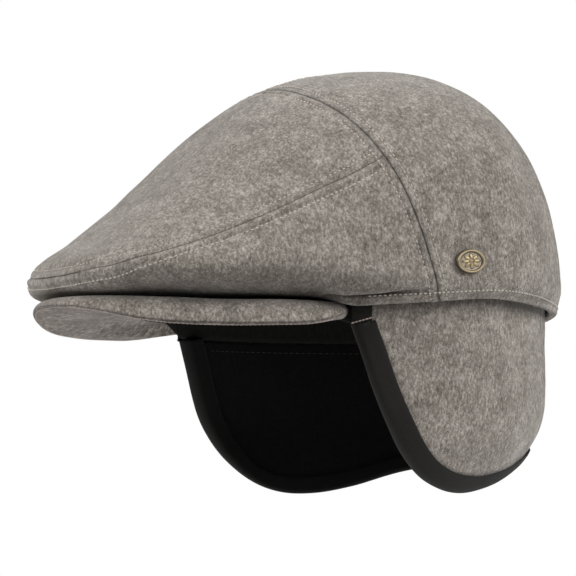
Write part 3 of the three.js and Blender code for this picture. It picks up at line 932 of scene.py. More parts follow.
def peak_layers(angle, share):
    """Reach and distance from the rim, and the heights of the peak's top, middle and underside."""
    reach = follow(PEAK, "reach", angle)
    depth = peak_depth(angle)
    inward = depth * share
    near_rim = 1 - np.minimum(inward / roll_length(angle), 1)
    roll = np.sqrt(1 - near_rim**2)
    rim = peak_rim(angle)
    top = mix(rim, follow(PEAK, "crest", angle), roll)
    arch = ease(inward, PEAK_ROLL, np.maximum(depth, PEAK_ROLL + 1))
    arch = UNDER_ARCH * np.where(depth > PEAK_ROLL, arch, 0)
    under = mix(rim, follow(PEAK, "under", angle), ease(inward, 0, PEAK_ROLL * 2)) - roll + arch
    middle = (top + under) / 2
    to_end = np.radians(PEAK_END_ANGLE - np.abs(angle)) * reach
    shut = np.sqrt(1 - (1 - np.clip(to_end / PEAK_TIP, 0, 1)) ** 2)
    return reach - inward, inward, mix(middle, top, shut), middle, mix(middle, under, shut)


def build_peak():
    t = np.linspace(-1, 1, PEAK_COLUMNS)
    angle = PEAK_END_ANGLE * np.sign(t) * (1 - (1 - np.abs(t)) ** PEAK_CROWDING)
    depth = peak_depth(angle)
    turned = np.linspace(0, math.pi / 2, PEAK_ROLL_ROWS)
    rolled = np.minimum(roll_length(angle), depth * MOST_ROLL)[:, None] * (1 - np.cos(turned))
    flat = mix(rolled[:, -1:], depth[:, None], np.linspace(0, 1, PEAK_FLAT_ROWS + 1)[1:])
    share = np.concatenate([rolled, flat], 1) / depth[:, None]
    angle = np.broadcast_to(angle[:, None], share.shape)
    out, inward, top, middle, under = peak_layers(angle, share)
    waves = PEAK_WAVE * smooth_noise(around(angle, out, top), PEAK_WAVE_LENGTH, PEAK_WAVE_SEED)
    waves = waves * ease(inward, 0, PEAK_WAVE_FULL)
    from_rim = np.concatenate([PEAK_ROLL * turned, np.full(PEAK_FLAT_ROWS, FAR)])
    from_rim = np.broadcast_to(from_rim, share.shape)
    seam = RIM_SEAM * bell(from_rim, 0, RIM_SEAM_WIDTH)
    # Painted shade along the rim seam
    crease = RIM_SHADE * bell(from_rim, 0, RIM_SHADE_WIDTH)
    under = under - GAP / 2 + waves * UNDER_WAVE + seam * UNDER_RIM_SEAM
    covers = (
        ("peak_top", "peak_top_cover", wool, "wool", 1, top + waves - seam),
        ("peak_under", "peak_under_cover", under_wool, "under_wool", -1, under),
    )
    for name, node, cloth, slot, side, outside in covers:
        inside = middle + side * GAP / 2
        outside = side * np.maximum(side * outside, side * inside)
        layers = around(angle, out, outside), around(angle, out, inside)
        cover = wall(name, *layers, cloth, crease=crease)
        dress(cover, slot, node)


build_peak()


# The earflaps. They are laid out flat: turns in degrees from the front, and heights.
CURVE_STEPS = 40
FLAP_COLUMNS = 360
FLAP_ROWS = 60
FLAP_ROUND = 0.9
FLAP_SEED = 1.3
FLAP_TAPER = 0.2
TAPER_START = -38
TAPER_LENGTH = 42
NAPE_DRAW = 0.07
NAPE_DRAW_START = -24
NAPE_DRAW_LENGTH = 40
EDGE_ROOM = TAPE + 0.55
WOOL_ABOVE_HEM = 7
WOOL_OUT = 0.3
NOTCH_TURN = 69
NOTCH_ENDS = (NOTCH_TURN - 0.5, NOTCH_TURN + 0.3)
JOINT = BAND_BOTTOM - GAP
FLAP_DENT = 0.6
DENTS_ROUND = 5.2
DENTS_START = 0.6
SMALL_DENT = 0.5
SMALL_DENTS_ROUND = 11
SMALL_DENTS_SLANT = 19
DENTS_BELOW = (6, 30)
DENTS_BEHIND = (68, 88)
RIGHT_CORNER = 2.4
RIGHT_CORNER_TURN = 270
RIGHT_CORNER_WIDTH = 15
HEM_SHADE_BACK = 0.55
HEM_SHADE_FADES = (76, 115)
HEM_SHADE_ENDS = (0.8, 3.4)
SOFT_SHADE = 0.32
SOFT_SHADE_END = 10


def below(start, length, height):
    return (np.maximum(start - height, 0) / length) ** 2


def curtain_point(turn, height, inset):
    scale = 1 - FLAP_TAPER * below(TAPER_START, TAPER_LENGTH, height)
    backwards = -np.cos(np.radians(turn))
    draw = NAPE_DRAW * np.maximum(backwards, 0) * below(NAPE_DRAW_START, NAPE_DRAW_LENGTH, height)
    x = (HEAD_SIDE - inset) * scale * np.sin(np.radians(turn))
    y = (HEAD_FRONT - inset) * (scale - draw) * backwards
    return np.stack(np.broadcast_arrays(x, y, height), -1).astype(float)


def centripetal(points, count):
    """A centripetal Catmull-Rom curve through flat points, as evenly spaced points."""
    points = np.array(points, float)
    before = 2 * points[0] - points[1]
    after = 2 * points[-1] - points[-2]
    p = np.concatenate([[before], points, [after]])
    curve = []
    for a, b, c, d in zip(p, p[1:], p[2:], p[3:]):
        spans = [np.linalg.norm(q - r) ** 0.5 for q, r in ((b, a), (c, b), (d, c))]
        out = (b - a) / spans[0] - (c - a) / (spans[0] + spans[1]) + (c - b) / spans[1]
        back = (c - b) / spans[1] - (d - b) / (spans[1] + spans[2]) + (d - c) / spans[2]
        t = np.linspace(0, 1, CURVE_STEPS, endpoint=False)[:, None]
        curve.append(
            b * (1 + 2 * t) * (1 - t) ** 2 + c * t * t * (3 - 2 * t)
            + out * spans[1] * t * (1 - t) ** 2 - back * spans[1] * t * t * (1 - t)
        )
    curve = np.concatenate(curve + [points[-1:]])
    length = length_along(curve)
    at = np.linspace(0, length[-1], count)
    return np.stack([np.interp(at, length, curve[:, k]) for k in range(2)], 1), at


def flap_edge(count):
    """The flaps' whole edge from the left front corner round the nape, and its inward side."""
    turn = np.array(FLAP_EDGE["turn"], float)
    height = np.array(FLAP_EDGE["height"], float)
    turn = np.concatenate([turn, 360 - turn[-2::-1]])
    height = np.concatenate([height, height[-2::-1]])
    points, at = centripetal(np.stack([turn * TURN_MM, height], 1), count)
    tangent = unit(np.gradient(points, axis=0))
    inward = np.stack([-tangent[:, 1], tangent[:, 0]], 1)
    corner = bell(points[:, :1] / TURN_MM, RIGHT_CORNER_TURN, RIGHT_CORNER_WIDTH)
    points = points - inward * RIGHT_CORNER * corner
    return points, inward, at


def from_front(turn):
    """The angle from the front, on either side, of a turn that runs from 0 to 360."""
    return np.minimum(turn, 360 - turn)


def flap_waves(turn, height):
    """Soft drape of the flaps: slow dents that fade towards the hem and the front edge."""
    side = from_front(turn)
    large = np.sin(np.radians(side) * DENTS_ROUND + DENTS_START)
    small = np.sin(np.radians(side) * SMALL_DENTS_ROUND + height / SMALL_DENTS_SLANT)
    dents = FLAP_DENT * (large + SMALL_DENT * small - 1)
    return dents * ease(-height, *DENTS_BELOW) * ease(side, *DENTS_BEHIND)


def curtain_grid(turn, height, inset):
    return curtain_point(turn, height, inset - flap_waves(turn, height))


def hem_shade(turn, height):
    """Painted shade on the cloth where it comes out from under the hem, most of all at the front."""
    side = from_front(turn)
    under_hem = follow(HEM, "height", side) - height
    front = mix(1, HEM_SHADE_BACK, ease(side, *HEM_SHADE_FADES))
    sharp = 1 - ease(under_hem, *HEM_SHADE_ENDS)
    soft = SOFT_SHADE * (1 - ease(under_hem, 0, SOFT_SHADE_END))
    return front * np.maximum(sharp, soft)


def build_curtain(name, node, outer_inset, thickness, top_of, cloth, slot, lump, lump_length):
    points, inward, _ = flap_edge(FLAP_COLUMNS)
    moved = points + inward * EDGE_ROOM
    turn = moved[:, 0] / TURN_MM
    low = np.minimum(moved[:, 1], JOINT - 1)[:, None]
    high = top_of(turn)[:, None]
    height = mix(low, high, np.linspace(0, 1, FLAP_ROWS))
    turn = np.broadcast_to(turn[:, None], height.shape)
    rounded = edge_sink(np.minimum(height - low, high - height), FLAP_ROUND)
    base = curtain_grid(turn, height, outer_inset)
    fuzz = lump * smooth_noise(base, lump_length, FLAP_SEED) - rounded
    outer = curtain_grid(turn, height, outer_inset - fuzz)
    inner = curtain_grid(turn, height, outer_inset + thickness - rounded - lump / 2)
    dress(wall(name, outer, inner, cloth, crease=hem_shade(turn, height)), slot, node)


def wool_top(turn):
    side = from_front(turn)
    up = follow(HEM, "height", side) + WOOL_ABOVE_HEM
    return mix(JOINT, up, ease(side, *NOTCH_ENDS))


def fleece_top(turn):
    return np.full(turn.shape, JOINT)


build_curtain(
    "flap_wool", "earflap_wool", WOOL_INSET - WOOL_OUT, FLAP_WOOL, wool_top, wool, "wool",
    lump=0.3, lump_length=9,
)
build_curtain(
    "flap_fleece", "earflap_fleece", FLEECE_INSET, FLAP_FLEECE, fleece_top, fleece_cloth, "fleece",
    lump=0.25, lump_length=3,
)


# The tape: wide at the front, narrow along the bottom, and folded over the flaps' edge. Only
# its cloth width, which its own map of the cloth uses, is in metres.
TAPE_WIDE = 9.3
TAPE_NARROW = 7
TAPE_NARROWS = (0.22, 0.42)
TAPE_EDGE_ROUND = 2.4
TAPE_PRESS = 0.35
TAPE_PRESS_WIDTH = 2
TAPE_SKIN = 0.6
TAPE_COLUMNS = 330
TAPE_LEG_ROWS = 10
TAPE_BEND_ROWS = 19
TAPE_CLOTH_WIDTH = 0.03
INSIDE_SHADE = (0.45, 0.7)
TAPE_END_TURNS = (FLAP_EDGE["turn"][0] - 0.2, NOTCH_TURN + 0.8)
TAPE_END_TOP = 4
TAPE_END_LAP = 0.9
TAPE_END_INSET = TAPE_INSET + 0.1
TAPE_END_COLUMNS = 14
TAPE_END_ROWS = 16


def tape_profile(width):
    """The tape's section as (depth, inset) points: outside, half round the edge, and inside."""
    end = INNER_TAPE_INSET + TAPE
    half = (end - TAPE_INSET) / 2
    middle = TAPE_INSET + half
    legs = mix(width, TAPE_EDGE_ROUND, np.linspace(0, 1, TAPE_LEG_ROWS, endpoint=False))
    pressed = TAPE_PRESS * (1 - ease(width - legs, 0, TAPE_PRESS_WIDTH))
    turned = np.linspace(0, math.pi, TAPE_BEND_ROWS)
    outside = np.stack([legs, TAPE_INSET + pressed], 1)
    bend = np.stack([TAPE_EDGE_ROUND * (1 - np.sin(turned)), middle - half * np.cos(turned)], 1)
    inside = np.stack([legs[::-1], end - pressed[::-1]], 1)
    skin = np.concatenate([outside, bend, inside])
    tangent = unit(np.gradient(skin, axis=0))
    lining = skin + np.stack([-tangent[:, 1], tangent[:, 0]], 1) * TAPE_SKIN
    lining[:, 0] = np.minimum(lining[:, 0], width)
    return skin, lining


def build_tape():
    points, inward, at = flap_edge(TAPE_COLUMNS)
    share = np.minimum(at, at[-1] - at) / (at[-1] / 2)
    width = mix(TAPE_WIDE, TAPE_NARROW, ease(share, *TAPE_NARROWS))
    inward[0] = (1, 0)
    inward[-1] = (-1, 0)
    outer = []
    inner = []
    uv = []
    crease = []
    for point, side, wide, along in zip(points, inward, width, at):
        for grid, section in zip((outer, inner), tape_profile(wide)):
            flat = point + side * section[:, :1]
            grid.append(curtain_grid(flat[:, 0] / TURN_MM, flat[:, 1], section[:, 1]))
        rows = len(section)
        uv.append(np.stack([np.full(rows, along * MM), np.linspace(0, TAPE_CLOTH_WIDTH, rows)], 1))
        # Painted shade on the inner leg of the tape, inside the flaps
        crease.append(ease(np.arange(rows), *(rows * part for part in INSIDE_SHADE)))
    outer, inner, uv, crease = (np.array(grid) for grid in (outer, inner, uv, crease))
    dress(wall("flap_tape", outer, inner, tape_cloth, crease=crease, uv=uv), "tape", "edge_tape")


build_tape()


def build_tape_ends():
    """The tape runs on up under the hem at the front of each flap."""
    turn = np.linspace(*TAPE_END_TURNS, TAPE_END_COLUMNS)
    height = np.linspace(BAND_BOTTOM - TAPE_END_LAP, TAPE_END_TOP, TAPE_END_ROWS)
    turn, height = np.meshgrid(turn, height, indexing="ij")
    for word, sign in (("left", 1), ("right", -1)):
        outer = curtain_point(sign * turn, height, TAPE_END_INSET)
        inner = curtain_point(sign * turn, height, TAPE_END_INSET + TAPE_SKIN)
        dress(wall(f"tape_end_{word}", outer, inner, tape_cloth), "tape")


build_tape_ends()


# The sweatband
BAND_COLUMNS = 360
BAND_ROWS = 24
BAND_ROUND = 0.7


def build_band():
    turn = np.linspace(0, 360, BAND_COLUMNS, endpoint=False)
    fall = ease(from_front(turn), BAND_FALL_START, BAND_FALL_END)
    bottom = mix(BAND_BOTTOM_FRONT, BAND_BOTTOM, fall)[:, None]
    height = mix(bottom, BAND_TOP, np.linspace(0, 1, BAND_ROWS))
    turn = np.broadcast_to(turn[:, None], height.shape)
    inset = FLEECE_INSET + BAND_LEAN * ease(height, 0, BAND_TOP)
    rounded = edge_sink(np.minimum(height - bottom, BAND_TOP - height), BAND_ROUND)
    outer = curtain_point(turn, height, inset + rounded)
    inner = curtain_point(turn, height, inset + BAND_CLOTH - rounded)
    dress(wall("inner_band", outer, inner, band_cloth, ring=True), "sweatband", "sweatband")


build_band()


# The badge: an oval with a raised rim and an eight-petal rosette in its recessed field. Radii
# and widths are shares of the oval, and heights are millimetres. Tarnish and painted shade run from 0
# to 1.
BADGE_ANGLE = 84.9
BADGE_SHARE = 0.041
BADGE_TURN = math.radians(5)
BADGE_COLUMNS = 120
BADGE_RINGS = np.concatenate([np.linspace(0.01, 0.93, 44), [0.95, 0.97, 0.985, 1.0]])
SIDE_REACH = [1.01, 1.0, 0.95, 0.01]
SIDE_HEIGHT = [0.4, 0.02, 0.0]
SIDE_TOP = 0.7
# How much painted shade darkens the badge's side wall, and below which heights
SIDE_PAINTED_SHADE = 0.75
SIDE_PAINTED_SHADE_ENDS = (-BADGE_DEPTH * 0.7, -BADGE_DEPTH * 0.5)
FIELD_HEIGHT = BADGE_DEPTH - 0.85
FIELD_ENDS = (0.72, 0.78)
FIELD_TARNISH = 0.34
FIELD_STARTS = 0.04
RIM_AT = 0.87
RIM_RISE = 0.8
RIM_WIDTH = 0.085
EDGE_FALL = 0.9
EDGE_FALLS = (0.93, 1.02)
PETALS = 8
PETAL_REACH = 0.62
PETAL_RISE = 0.55
PETAL_WAIST = 0.35
PETAL_POWER = 0.8
PETAL_STEEPNESS = 6
PETAL_STARTS = (0.14, 0.24)
BOSS_RISE = 0.6
BOSS_WIDTH = 0.11
GROOVE_WIDTH = 0.05
# Tarnish with painted shade in the grooves beside the rim, round the petals and round the boss
INNER_GROOVE = 0.75
INNER_TARNISH_AND_SHADE = 0.95
OUTER_GROOVE = 0.985
OUTER_TARNISH_AND_SHADE = 0.9
RING_WIDTH = 0.045
BOSS_RING = 0.17
BOSS_TARNISH_AND_SHADE = 0.7
PETAL_RING = 0.02
PETAL_TARNISH_AND_SHADE = 0.95
PETAL_TARNISH_AND_SHADE_STARTS = (0.2, 0.3)
BRASS_GRAIN = 0.2
BRIGHT_TO_DULL = (0.1, 0.45)
DULL_TO_DARK = (0.45, 1.05)


def antique_brass():
    material, tree, shader = new_material("antique_brass")
    grain = noise_node(tree, object_coords(tree), scale=1400, detail=3.0)
    # Tarnish and painted shade: the grain and the crease attribute dull and darken the brass
    tarnish_and_shade = math_node(tree, "MULTIPLY_ADD", grain, BRASS_GRAIN)
    give(tree, tarnish_and_shade.node, {2: shade_and_tarnish_of(tree)})
    dull = band_of(tree, tarnish_and_shade, *BRIGHT_TO_DULL)
    brushed = mix_colour(tree, dull, srgb(186, 167, 128), srgb(150, 140, 122))
    dark = band_of(tree, tarnish_and_shade, *DULL_TO_DARK)
    give(tree, shader, {
        "Base Color": mix_colour(tree, dark, brushed, srgb(46, 36, 25)),
        "Metallic": 0.5,
        "Roughness": 0.42,
    })
    add_bump(tree, shader, grain, distance=0.0001, strength=0.6)
    return material


def petal_spread(turn):
    return PETAL_WAIST + (1 - PETAL_WAIST) * np.abs(np.cos(turn * PETALS / 2)) ** PETAL_POWER


def badge_height(radius, turn):
    """A raised rim, a recessed field, and a rosette of petals round a small boss."""
    spread = petal_spread(turn)
    dome = np.clip(1 - (radius / (PETAL_REACH * spread)) ** PETAL_STEEPNESS, 0, 1)
    petals = PETAL_RISE * dome * ease(radius, *PETAL_STARTS) * spread
    rim = RIM_RISE * bell(radius, RIM_AT, RIM_WIDTH)
    boss = BOSS_RISE * bell(radius, 0, BOSS_WIDTH)
    return FIELD_HEIGHT + rim + petals + boss - EDGE_FALL * ease(radius, *EDGE_FALLS)


def badge_hollows(radius, turn):
    """Tarnish with painted shade beside the rim and round the petals and the boss, and plain patina,
    less, on the whole field.
    """
    past_petal = radius - PETAL_REACH * petal_spread(turn)
    outline = bell(past_petal, PETAL_RING, RING_WIDTH) * ease(radius, *PETAL_TARNISH_AND_SHADE_STARTS)
    return np.max([
        FIELD_TARNISH * (1 - ease(radius, *FIELD_ENDS)) * ease(past_petal, 0, FIELD_STARTS),
        INNER_TARNISH_AND_SHADE * bell(radius, INNER_GROOVE, GROOVE_WIDTH),
        OUTER_TARNISH_AND_SHADE * bell(radius, OUTER_GROOVE, GROOVE_WIDTH),
        PETAL_TARNISH_AND_SHADE * outline,
        BOSS_TARNISH_AND_SHADE * bell(radius, BOSS_RING, RING_WIDTH),
    ], axis=0)


def badge_faces(rows, count):
    faces = []
    for i in range(rows - 1):
        for k in range(count):
            n = (k + 1) % count
            faces.append((i * count + k, i * count + n, (i + 1) * count + n, (i + 1) * count + k))
    faces.append(tuple(range(count)))
    faces.append(tuple(range((rows - 1) * count, rows * count))[::-1])
    return faces


def badge_seat():
    """The place on the crown where the badge lies, and its axes: across, up and out."""
    normal = Vector(crown_normal(BADGE_ANGLE, BADGE_SHARE))
    level = Vector((0, 0, 1)).cross(normal).normalized()
    across = Matrix.Rotation(BADGE_TURN, 3, normal) @ level
    axes = Matrix((across, normal.cross(across), normal)).transposed()
    seat = Vector(crown_point(BADGE_ANGLE, BADGE_SHARE)) + normal * GAP
    return np.array(seat), np.array(axes)


def build_badge():
    turns = np.linspace(0, 2 * math.pi, BADGE_COLUMNS, endpoint=False)
    radius, turn = np.meshgrid(BADGE_RINGS, turns, indexing="ij")
    height = badge_height(radius, turn)
    side = np.array([height[-1, 0] * SIDE_TOP, *SIDE_HEIGHT])
    reach = np.concatenate([BADGE_RINGS, SIDE_REACH])[:, None]
    height = np.concatenate([height, np.repeat(side[:, None], BADGE_COLUMNS, 1)])
    grid = np.stack([reach * np.cos(turns), reach * np.sin(turns), height], -1)
    grid = grid * [BADGE_LENGTH / 2, BADGE_HEIGHT / 2, 1]
    # Painted shade on the badge's side wall
    side_shade = SIDE_PAINTED_SHADE * ease(-height, *SIDE_PAINTED_SHADE_ENDS)
    hollows = np.zeros(height.shape)
    hollows[:len(BADGE_RINGS)] = badge_hollows(radius, turn)
    seat, axes = badge_seat()
    points = grid.reshape(-1, 3) @ axes.T + seat
    faces = badge_faces(*height.shape)
    marks = np.maximum(side_shade, hollows).ravel()
    dress(new_object("badge_oval", points, faces, antique_brass(), crease=marks), "brass", "badge")


build_badge()


# Stitches: rows of small capsules along lines that lie on the cloth, all sizes in millimetres
LAY_REACH = 4
HEM_LAY_REACH = 9
LEAST_FACING = 0.3
ROW_SPACING = 1.2
LOWER_ROW = 5
CROSS_ROW = 4.3
SEARCH_SHARE = 0.1
SEARCH_STEPS = 60
SIDE_ROW_ENDS = 4
CROSS_ROW_ENDS = 2
BACK_ROW_ENDS = 5
TOP_POINTS = 50
BACK_POINTS = 89
NEARLY_TOP = 0.97
HEM_ROW_START = 58
HEM_ROW_POINTS = 480
TAPE_END_ROW = (-5.7, -3.5)
TAPE_END_ROW_TURNS = (FLAP_EDGE["turn"][0], NOTCH_TURN + 0.3)
TAPE_END_ROW_POINTS = 12
FLEECE_ROW_START = 76
FLEECE_ROW_HEIGHT = -10.5
FLEECE_ROW_POINTS = 400
RIM_ROW_ENDS = 3
RIM_ROW_IN = 1.3
RIM_ROW_POINTS = 260


def cloth_tree(*names):
    """A search tree of the outer faces of some pieces, in millimetres."""
    vertices = []
    polygons = []
    for name in names:
        mesh = bpy.data.objects[name].data
        start = len(vertices)
        vertices += [v.co / MM for v in mesh.vertices]
        polygons += [[start + i for i in p.vertices] for p in mesh.polygons]
    return BVHTree.FromPolygons(vertices, polygons)


def lay_on(tree, points, normals, reach=LAY_REACH):
    """Moves points along their normals onto the cloth."""
    laid = []
    for point, normal in zip(points, normals):
        start = Vector(point) + Vector(normal) * reach
        hit, face_normal, _, _ = tree.ray_cast(start, -Vector(normal), 2 * reach)
        if hit and face_normal.dot(Vector(normal)) > LEAST_FACING:
            laid.append((hit, face_normal))
    return np.array([p for p, _ in laid]), np.array([n for _, n in laid])


def stitch_tree():
    """Capsules along a line, with inputs for their pitch, length, thickness and thread."""
    tree = bpy.data.node_groups.new("stitch_row", "GeometryNodeTree")
    face = tree.interface
    face.new_socket(name="Geometry", in_out="INPUT", socket_type="NodeSocketGeometry")
    for label in ("Pitch", "Length", "Thick"):
        face.new_socket(name=label, in_out="INPUT", socket_type="NodeSocketFloat")
    face.new_socket(name="Thread", in_out="INPUT", socket_type="NodeSocketMaterial")
    face.new_socket(name="Geometry", in_out="OUTPUT", socket_type="NodeSocketGeometry")

    def step(kind, inputs=None, **settings):
        return add_node(tree, kind, inputs, **settings).outputs

    given = step("NodeGroupInput")
    curve = step("GeometryNodeMeshToCurve", {"Mesh": given["Geometry"]})
    line = {"Curve": curve["Curve"], "Length": given["Pitch"]}
    spots = step("GeometryNodeResampleCurve", line, mode="LENGTH")
    lift = step("GeometryNodeInputNamedAttribute", {"Name": "lift"}, data_type="FLOAT_VECTOR")
    tangent = step("GeometryNodeInputTangent")
    capsule = step("GeometryNodeMeshUVSphere", {"Segments": 8, "Rings": 5, "Radius": 0.5})
    along = step("FunctionNodeAlignRotationToVector", {"Vector": tangent[0]}, axis="X")
    turned = {"Rotation": along[0], "Vector": lift[0]}
    upright = step("FunctionNodeAlignRotationToVector", turned, axis="Z", pivot_axis="X")
    size = step("ShaderNodeCombineXYZ", {0: given["Length"], 1: given["Thick"], 2: given["Thick"]})
    placed = step("GeometryNodeInstanceOnPoints", {
        "Points": spots["Curve"],
        "Instance": capsule["Mesh"],
        "Rotation": upright[0],
        "Scale": size[0],
    })
    solid = step("GeometryNodeRealizeInstances", {0: placed[0]})
    cover = step("GeometryNodeSetMaterial", {"Geometry": solid[0], "Material": given["Thread"]})
    step("NodeGroupOutput", {0: cover[0]})
    return tree


stitches_group = stitch_tree()


def sew(name, rows, thread, slot, pitch=2.3, length=1.5, thick=0.58, lift=0.1):
    """Rows of stitches: each row is a line of points with the cloth's normals."""
    vertices = []
    edges = []
    normals = []
    for points, out in rows:
        start = len(vertices)
        vertices += ((points + out * lift) * MM).tolist()
        normals += out.tolist()
        edges += [(start + i, start + i + 1) for i in range(len(points) - 1)]
    mesh = bpy.data.meshes.new(name + "_line")
    mesh.from_pydata(vertices, edges, [])
    layer = mesh.attributes.new("lift", "FLOAT_VECTOR", "POINT")
    layer.data.foreach_set("vector", np.array(normals, np.float32).ravel())
    line = link_new(name + "_line", mesh)
    modifier = line.modifiers.new("stitches", "NODES")
    modifier.node_group = stitches_group
    given = {"Pitch": pitch * MM, "Length": length * MM, "Thick": thick * MM, "Thread": thread}
    for item in stitches_group.interface.items_tree:
        if item.in_out == "INPUT" and item.name in given:
            modifier[item.identifier] = given[item.name]
    graph = bpy.context.evaluated_depsgraph_get()
    made = bpy.data.meshes.new_from_object(line.evaluated_get(graph))
    made.name = name
    made.shade_smooth()
    bpy.data.objects.remove(line)
    dress(link_new(name, made), slot)


def trimmed(row, cut):
    """A row of stitches without its two ends."""
    points, normals = row
    along = length_along(points)
    keep = (along >= cut) & (along <= along[-1] - cut)
    return points[keep], normals[keep]


def row_along(tree, angle, share):
    angle, share = spaced(angle, share, ROW_SPACING)
    return lay_on(tree, crown_point(angle, share), crown_normal(angle, share))


def share_beside(angle, share, line, distance, direction):
    """Finds, up or down each column, where the crown is a distance from a seam."""
    shares = share[:, None] + np.linspace(0, direction * SEARCH_SHARE, SEARCH_STEPS)
    shares = np.clip(shares, -TUCK, 1)
    away = nearest(crown_point(angle[:, None], shares), line)[0]
    return np.array([np.interp(distance, np.maximum.accumulate(a), s) for a, s in zip(away, shares)])


def side_rows(top, side):
    seam_angle, seam_share = both_sides(*side_line(0, seam_meeting(0, 0)))
    line = on_crown(seam_angle, seam_share)
    for tree, direction, off in ((top, 1, STITCH_OFF), (side, -1, LOWER_ROW)):
        share = share_beside(seam_angle, seam_share, line, off, direction)
        yield trimmed(row_along(tree, seam_angle, share), SIDE_ROW_ENDS)


def cross_rows(front, backs):
    for tree, shift in ((front, -CROSS_ROW), (backs, CROSS_ROW)):
        angle, share = both_sides(*cross_line(shift))
        yield trimmed(row_along(tree, angle, share), CROSS_ROW_ENDS)


def back_rows(backs):
    """A row on each side of the seam down the middle of the back."""
    start = cross_share(np.array([0.0]), 0)[0]
    down = np.linspace(1, -TUCK, BACK_POINTS + 1)[1:]
    share = np.concatenate([np.linspace(start, 1, TOP_POINTS), down])
    angle = np.concatenate([np.zeros(TOP_POINTS), np.full(BACK_POINTS, 180.0)])
    points = crown_point(angle, share)
    normals = unit(crown_normal(angle, np.clip(share, -TUCK, NEARLY_TOP)) * [0, 1, 1])
    for off in (STITCH_OFF, -STITCH_OFF):
        yield trimmed(lay_on(backs, points + np.array([off, 0, 0]), normals), BACK_ROW_ENDS)


def sew_crown():
    front = cloth_tree("crown_top", "crown_side")
    backs = cloth_tree("back_left", "back_right")
    rows = [*side_rows(cloth_tree("crown_top"), cloth_tree("crown_side"))]
    rows += [*cross_rows(front, backs), *back_rows(backs)]
    sew("crown_stitches", rows, pale_thread, "wool")


sew_crown()


def sew_hem():
    angle = np.linspace(HEM_ROW_START, 360 - HEM_ROW_START, HEM_ROW_POINTS)
    angle = np.where(angle > 180, angle - 360, angle)
    base = crown_point(angle, np.full(HEM_ROW_POINTS, -TUCK)) + np.array([0, 0, HEM_ROW])
    along = np.gradient(base, axis=0)
    outward = unit(np.stack([-along[:, 1], along[:, 0], 0 * angle], -1))
    outward *= np.sign((outward * base).sum(-1, keepdims=True))
    tree = cloth_tree("crown_side", "back_left", "back_right")
    row = lay_on(tree, base, outward, reach=HEM_LAY_REACH)
    sew("hem_stitches", [row], pale_thread, "wool", thick=0.68, lift=0.2)


sew_hem()


def sew_flaps():
    tree = cloth_tree("tape_end_left", "tape_end_right")
    turn = np.linspace(*TAPE_END_ROW_TURNS, TAPE_END_ROW_POINTS)
    height = np.linspace(*TAPE_END_ROW, TAPE_END_ROW_POINTS)
    rows = []
    for sign in (1, -1):
        points = curtain_point(sign * turn, height, TAPE_INSET)
        rows.append(lay_on(tree, points, unit(points * [1, 1, 0])))
    sew("tape_end_stitches", rows, rim_thread, "tape", pitch=1.6, length=1.6, thick=0.68)
    turn = np.linspace(FLEECE_ROW_START, 360 - FLEECE_ROW_START, FLEECE_ROW_POINTS)
    points = curtain_point(turn, FLEECE_ROW_HEIGHT, FLEECE_INSET + FLAP_FLEECE)
    row = lay_on(cloth_tree("flap_fleece"), points, -unit(points * [1, 1, 0]))
    sew("fleece_stitches", [row], dark_thread, "fleece", pitch=3, length=2.2, thick=0.35)


sew_flaps()


def sew_peak():
    end = PEAK_END_ANGLE - RIM_ROW_ENDS
    angle = np.linspace(-end, end, RIM_ROW_POINTS)
    points = around(angle, follow(PEAK, "reach", angle) - RIM_ROW_IN, peak_rim(angle))
    normals = np.tile([0.0, 0.0, -1.0], (RIM_ROW_POINTS, 1))
    row = lay_on(cloth_tree("peak_under"), points, normals)
    sew("rim_stitches", [row], rim_thread, "under_wool", pitch=1.9, length=1.6, thick=0.4)


sew_peak()


# Camera, lights, floor and world, in metres. A light's angle is counted from the peak towards
# the left ear, in degrees.
CAMERA_ANGLE = math.radians(58)
CAMERA_RISE = math.radians(-3.5)
CAMERA_DISTANCE = 1.2
AIM_ACROSS = -0.024
AIM_UP = 0.016
LENS = 161.25
SENSOR = 36
CLIP_START = 0.05
LIGHT_AIM = Vector((0, 0, 0.02))
LIGHTS = {
    "overhead": {"angle": 10, "rise": 60, "distance": 1.5, "size": 1.0, "watts": 7.5},
    "front": {"angle": -2, "rise": 26, "distance": 1.6, "size": 1.0, "watts": 14.5},
    "side": {"angle": 124, "rise": 32, "distance": 1.6, "size": 1.1, "watts": 20.5},
    "behind": {"angle": 170, "rise": 15, "distance": 1.6, "size": 1.1, "watts": 4},
    "far_side": {"angle": 275, "rise": 30, "distance": 1.7, "size": 1.2, "watts": 7},
}
WHITE = (1, 1, 1, 1)
SOFT_WHITE = (1, 0.995, 0.985, 1)
WORLD_LIGHT = 0.12
FLOOR_HEIGHT = -0.45
FLOOR_HALF = 1.1
FLOOR_COLOUR = (0.88, 0.88, 0.88, 1)


def direction(angle, rise):
    level = math.cos(rise)
    return Vector((level * math.sin(angle), -level * math.cos(angle), math.sin(rise)))


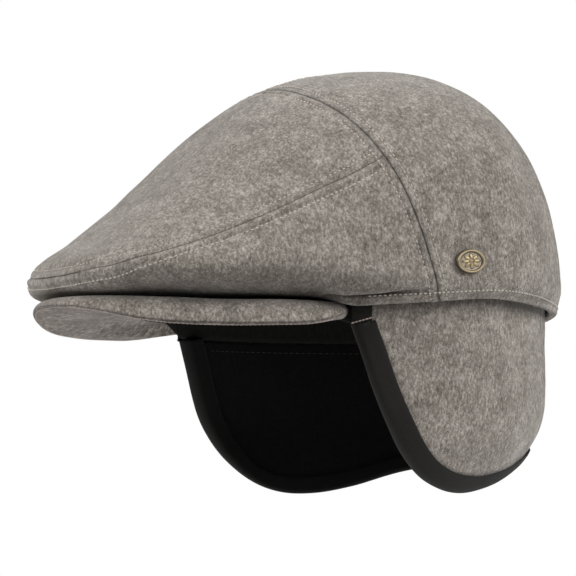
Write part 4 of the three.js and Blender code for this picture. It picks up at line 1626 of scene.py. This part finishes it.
def look(obj, eye, aim):
    obj.location = eye
    obj.rotation_euler = (aim - eye).to_track_quat("-Z", "Y").to_euler()


def add_camera():
    back = direction(CAMERA_ANGLE, CAMERA_RISE)
    right = Vector((math.cos(CAMERA_ANGLE), math.sin(CAMERA_ANGLE), 0))
    camera = link_new("camera", bpy.data.cameras.new("camera"))
    camera.data.lens = LENS
    camera.data.sensor_width = SENSOR
    camera.data.clip_start = CLIP_START
    look(camera, back * CAMERA_DISTANCE, right * AIM_ACROSS + back.cross(right) * AIM_UP)
    bpy.context.scene.camera = camera


def add_light(name, angle, rise, distance, size, watts):
    light = link_new(name, bpy.data.lights.new(name, "AREA"))
    light.data.shape = "DISK"
    light.data.size = size
    light.data.energy = watts
    look(light, direction(math.radians(angle), math.radians(rise)) * distance, LIGHT_AIM)


def add_floor():
    mesh = bpy.data.meshes.new("floor")
    sides = ((-1, -1), (1, -1), (1, 1), (-1, 1))
    corners = [(x * FLOOR_HALF, y * FLOOR_HALF, FLOOR_HEIGHT) for x, y in sides]
    mesh.from_pydata(corners, [], [(0, 1, 2, 3)])
    material, tree, shader = new_material("pale_floor")
    give(tree, shader, {"Base Color": FLOOR_COLOUR, "Roughness": 0.9})
    mesh.materials.append(material)
    link_new("floor", mesh)


def set_world():
    """The camera sees a white room, which lights the cap only a little."""
    world = bpy.data.worlds.new("studio")
    bpy.context.scene.world = world
    world.use_nodes = True
    tree = world.node_tree
    seen = tree.nodes["Background"]
    give(tree, seen, {"Color": WHITE, "Strength": 1.0})
    lit = add_node(tree, "ShaderNodeBackground", {"Color": SOFT_WHITE, "Strength": WORLD_LIGHT})
    path = tree.nodes.new("ShaderNodeLightPath")
    chosen = add_node(tree, "ShaderNodeMixShader", {
        0: path.outputs["Is Camera Ray"],
        1: lit.outputs[0],
        2: seen.outputs[0],
    })
    give(tree, tree.nodes["World Output"], {"Surface": chosen.outputs[0]})


add_camera()
for name, sizes in LIGHTS.items():
    add_light(name, **sizes)
add_floor()
set_world()
bpy.context.scene.view_settings.view_transform = "Standard"
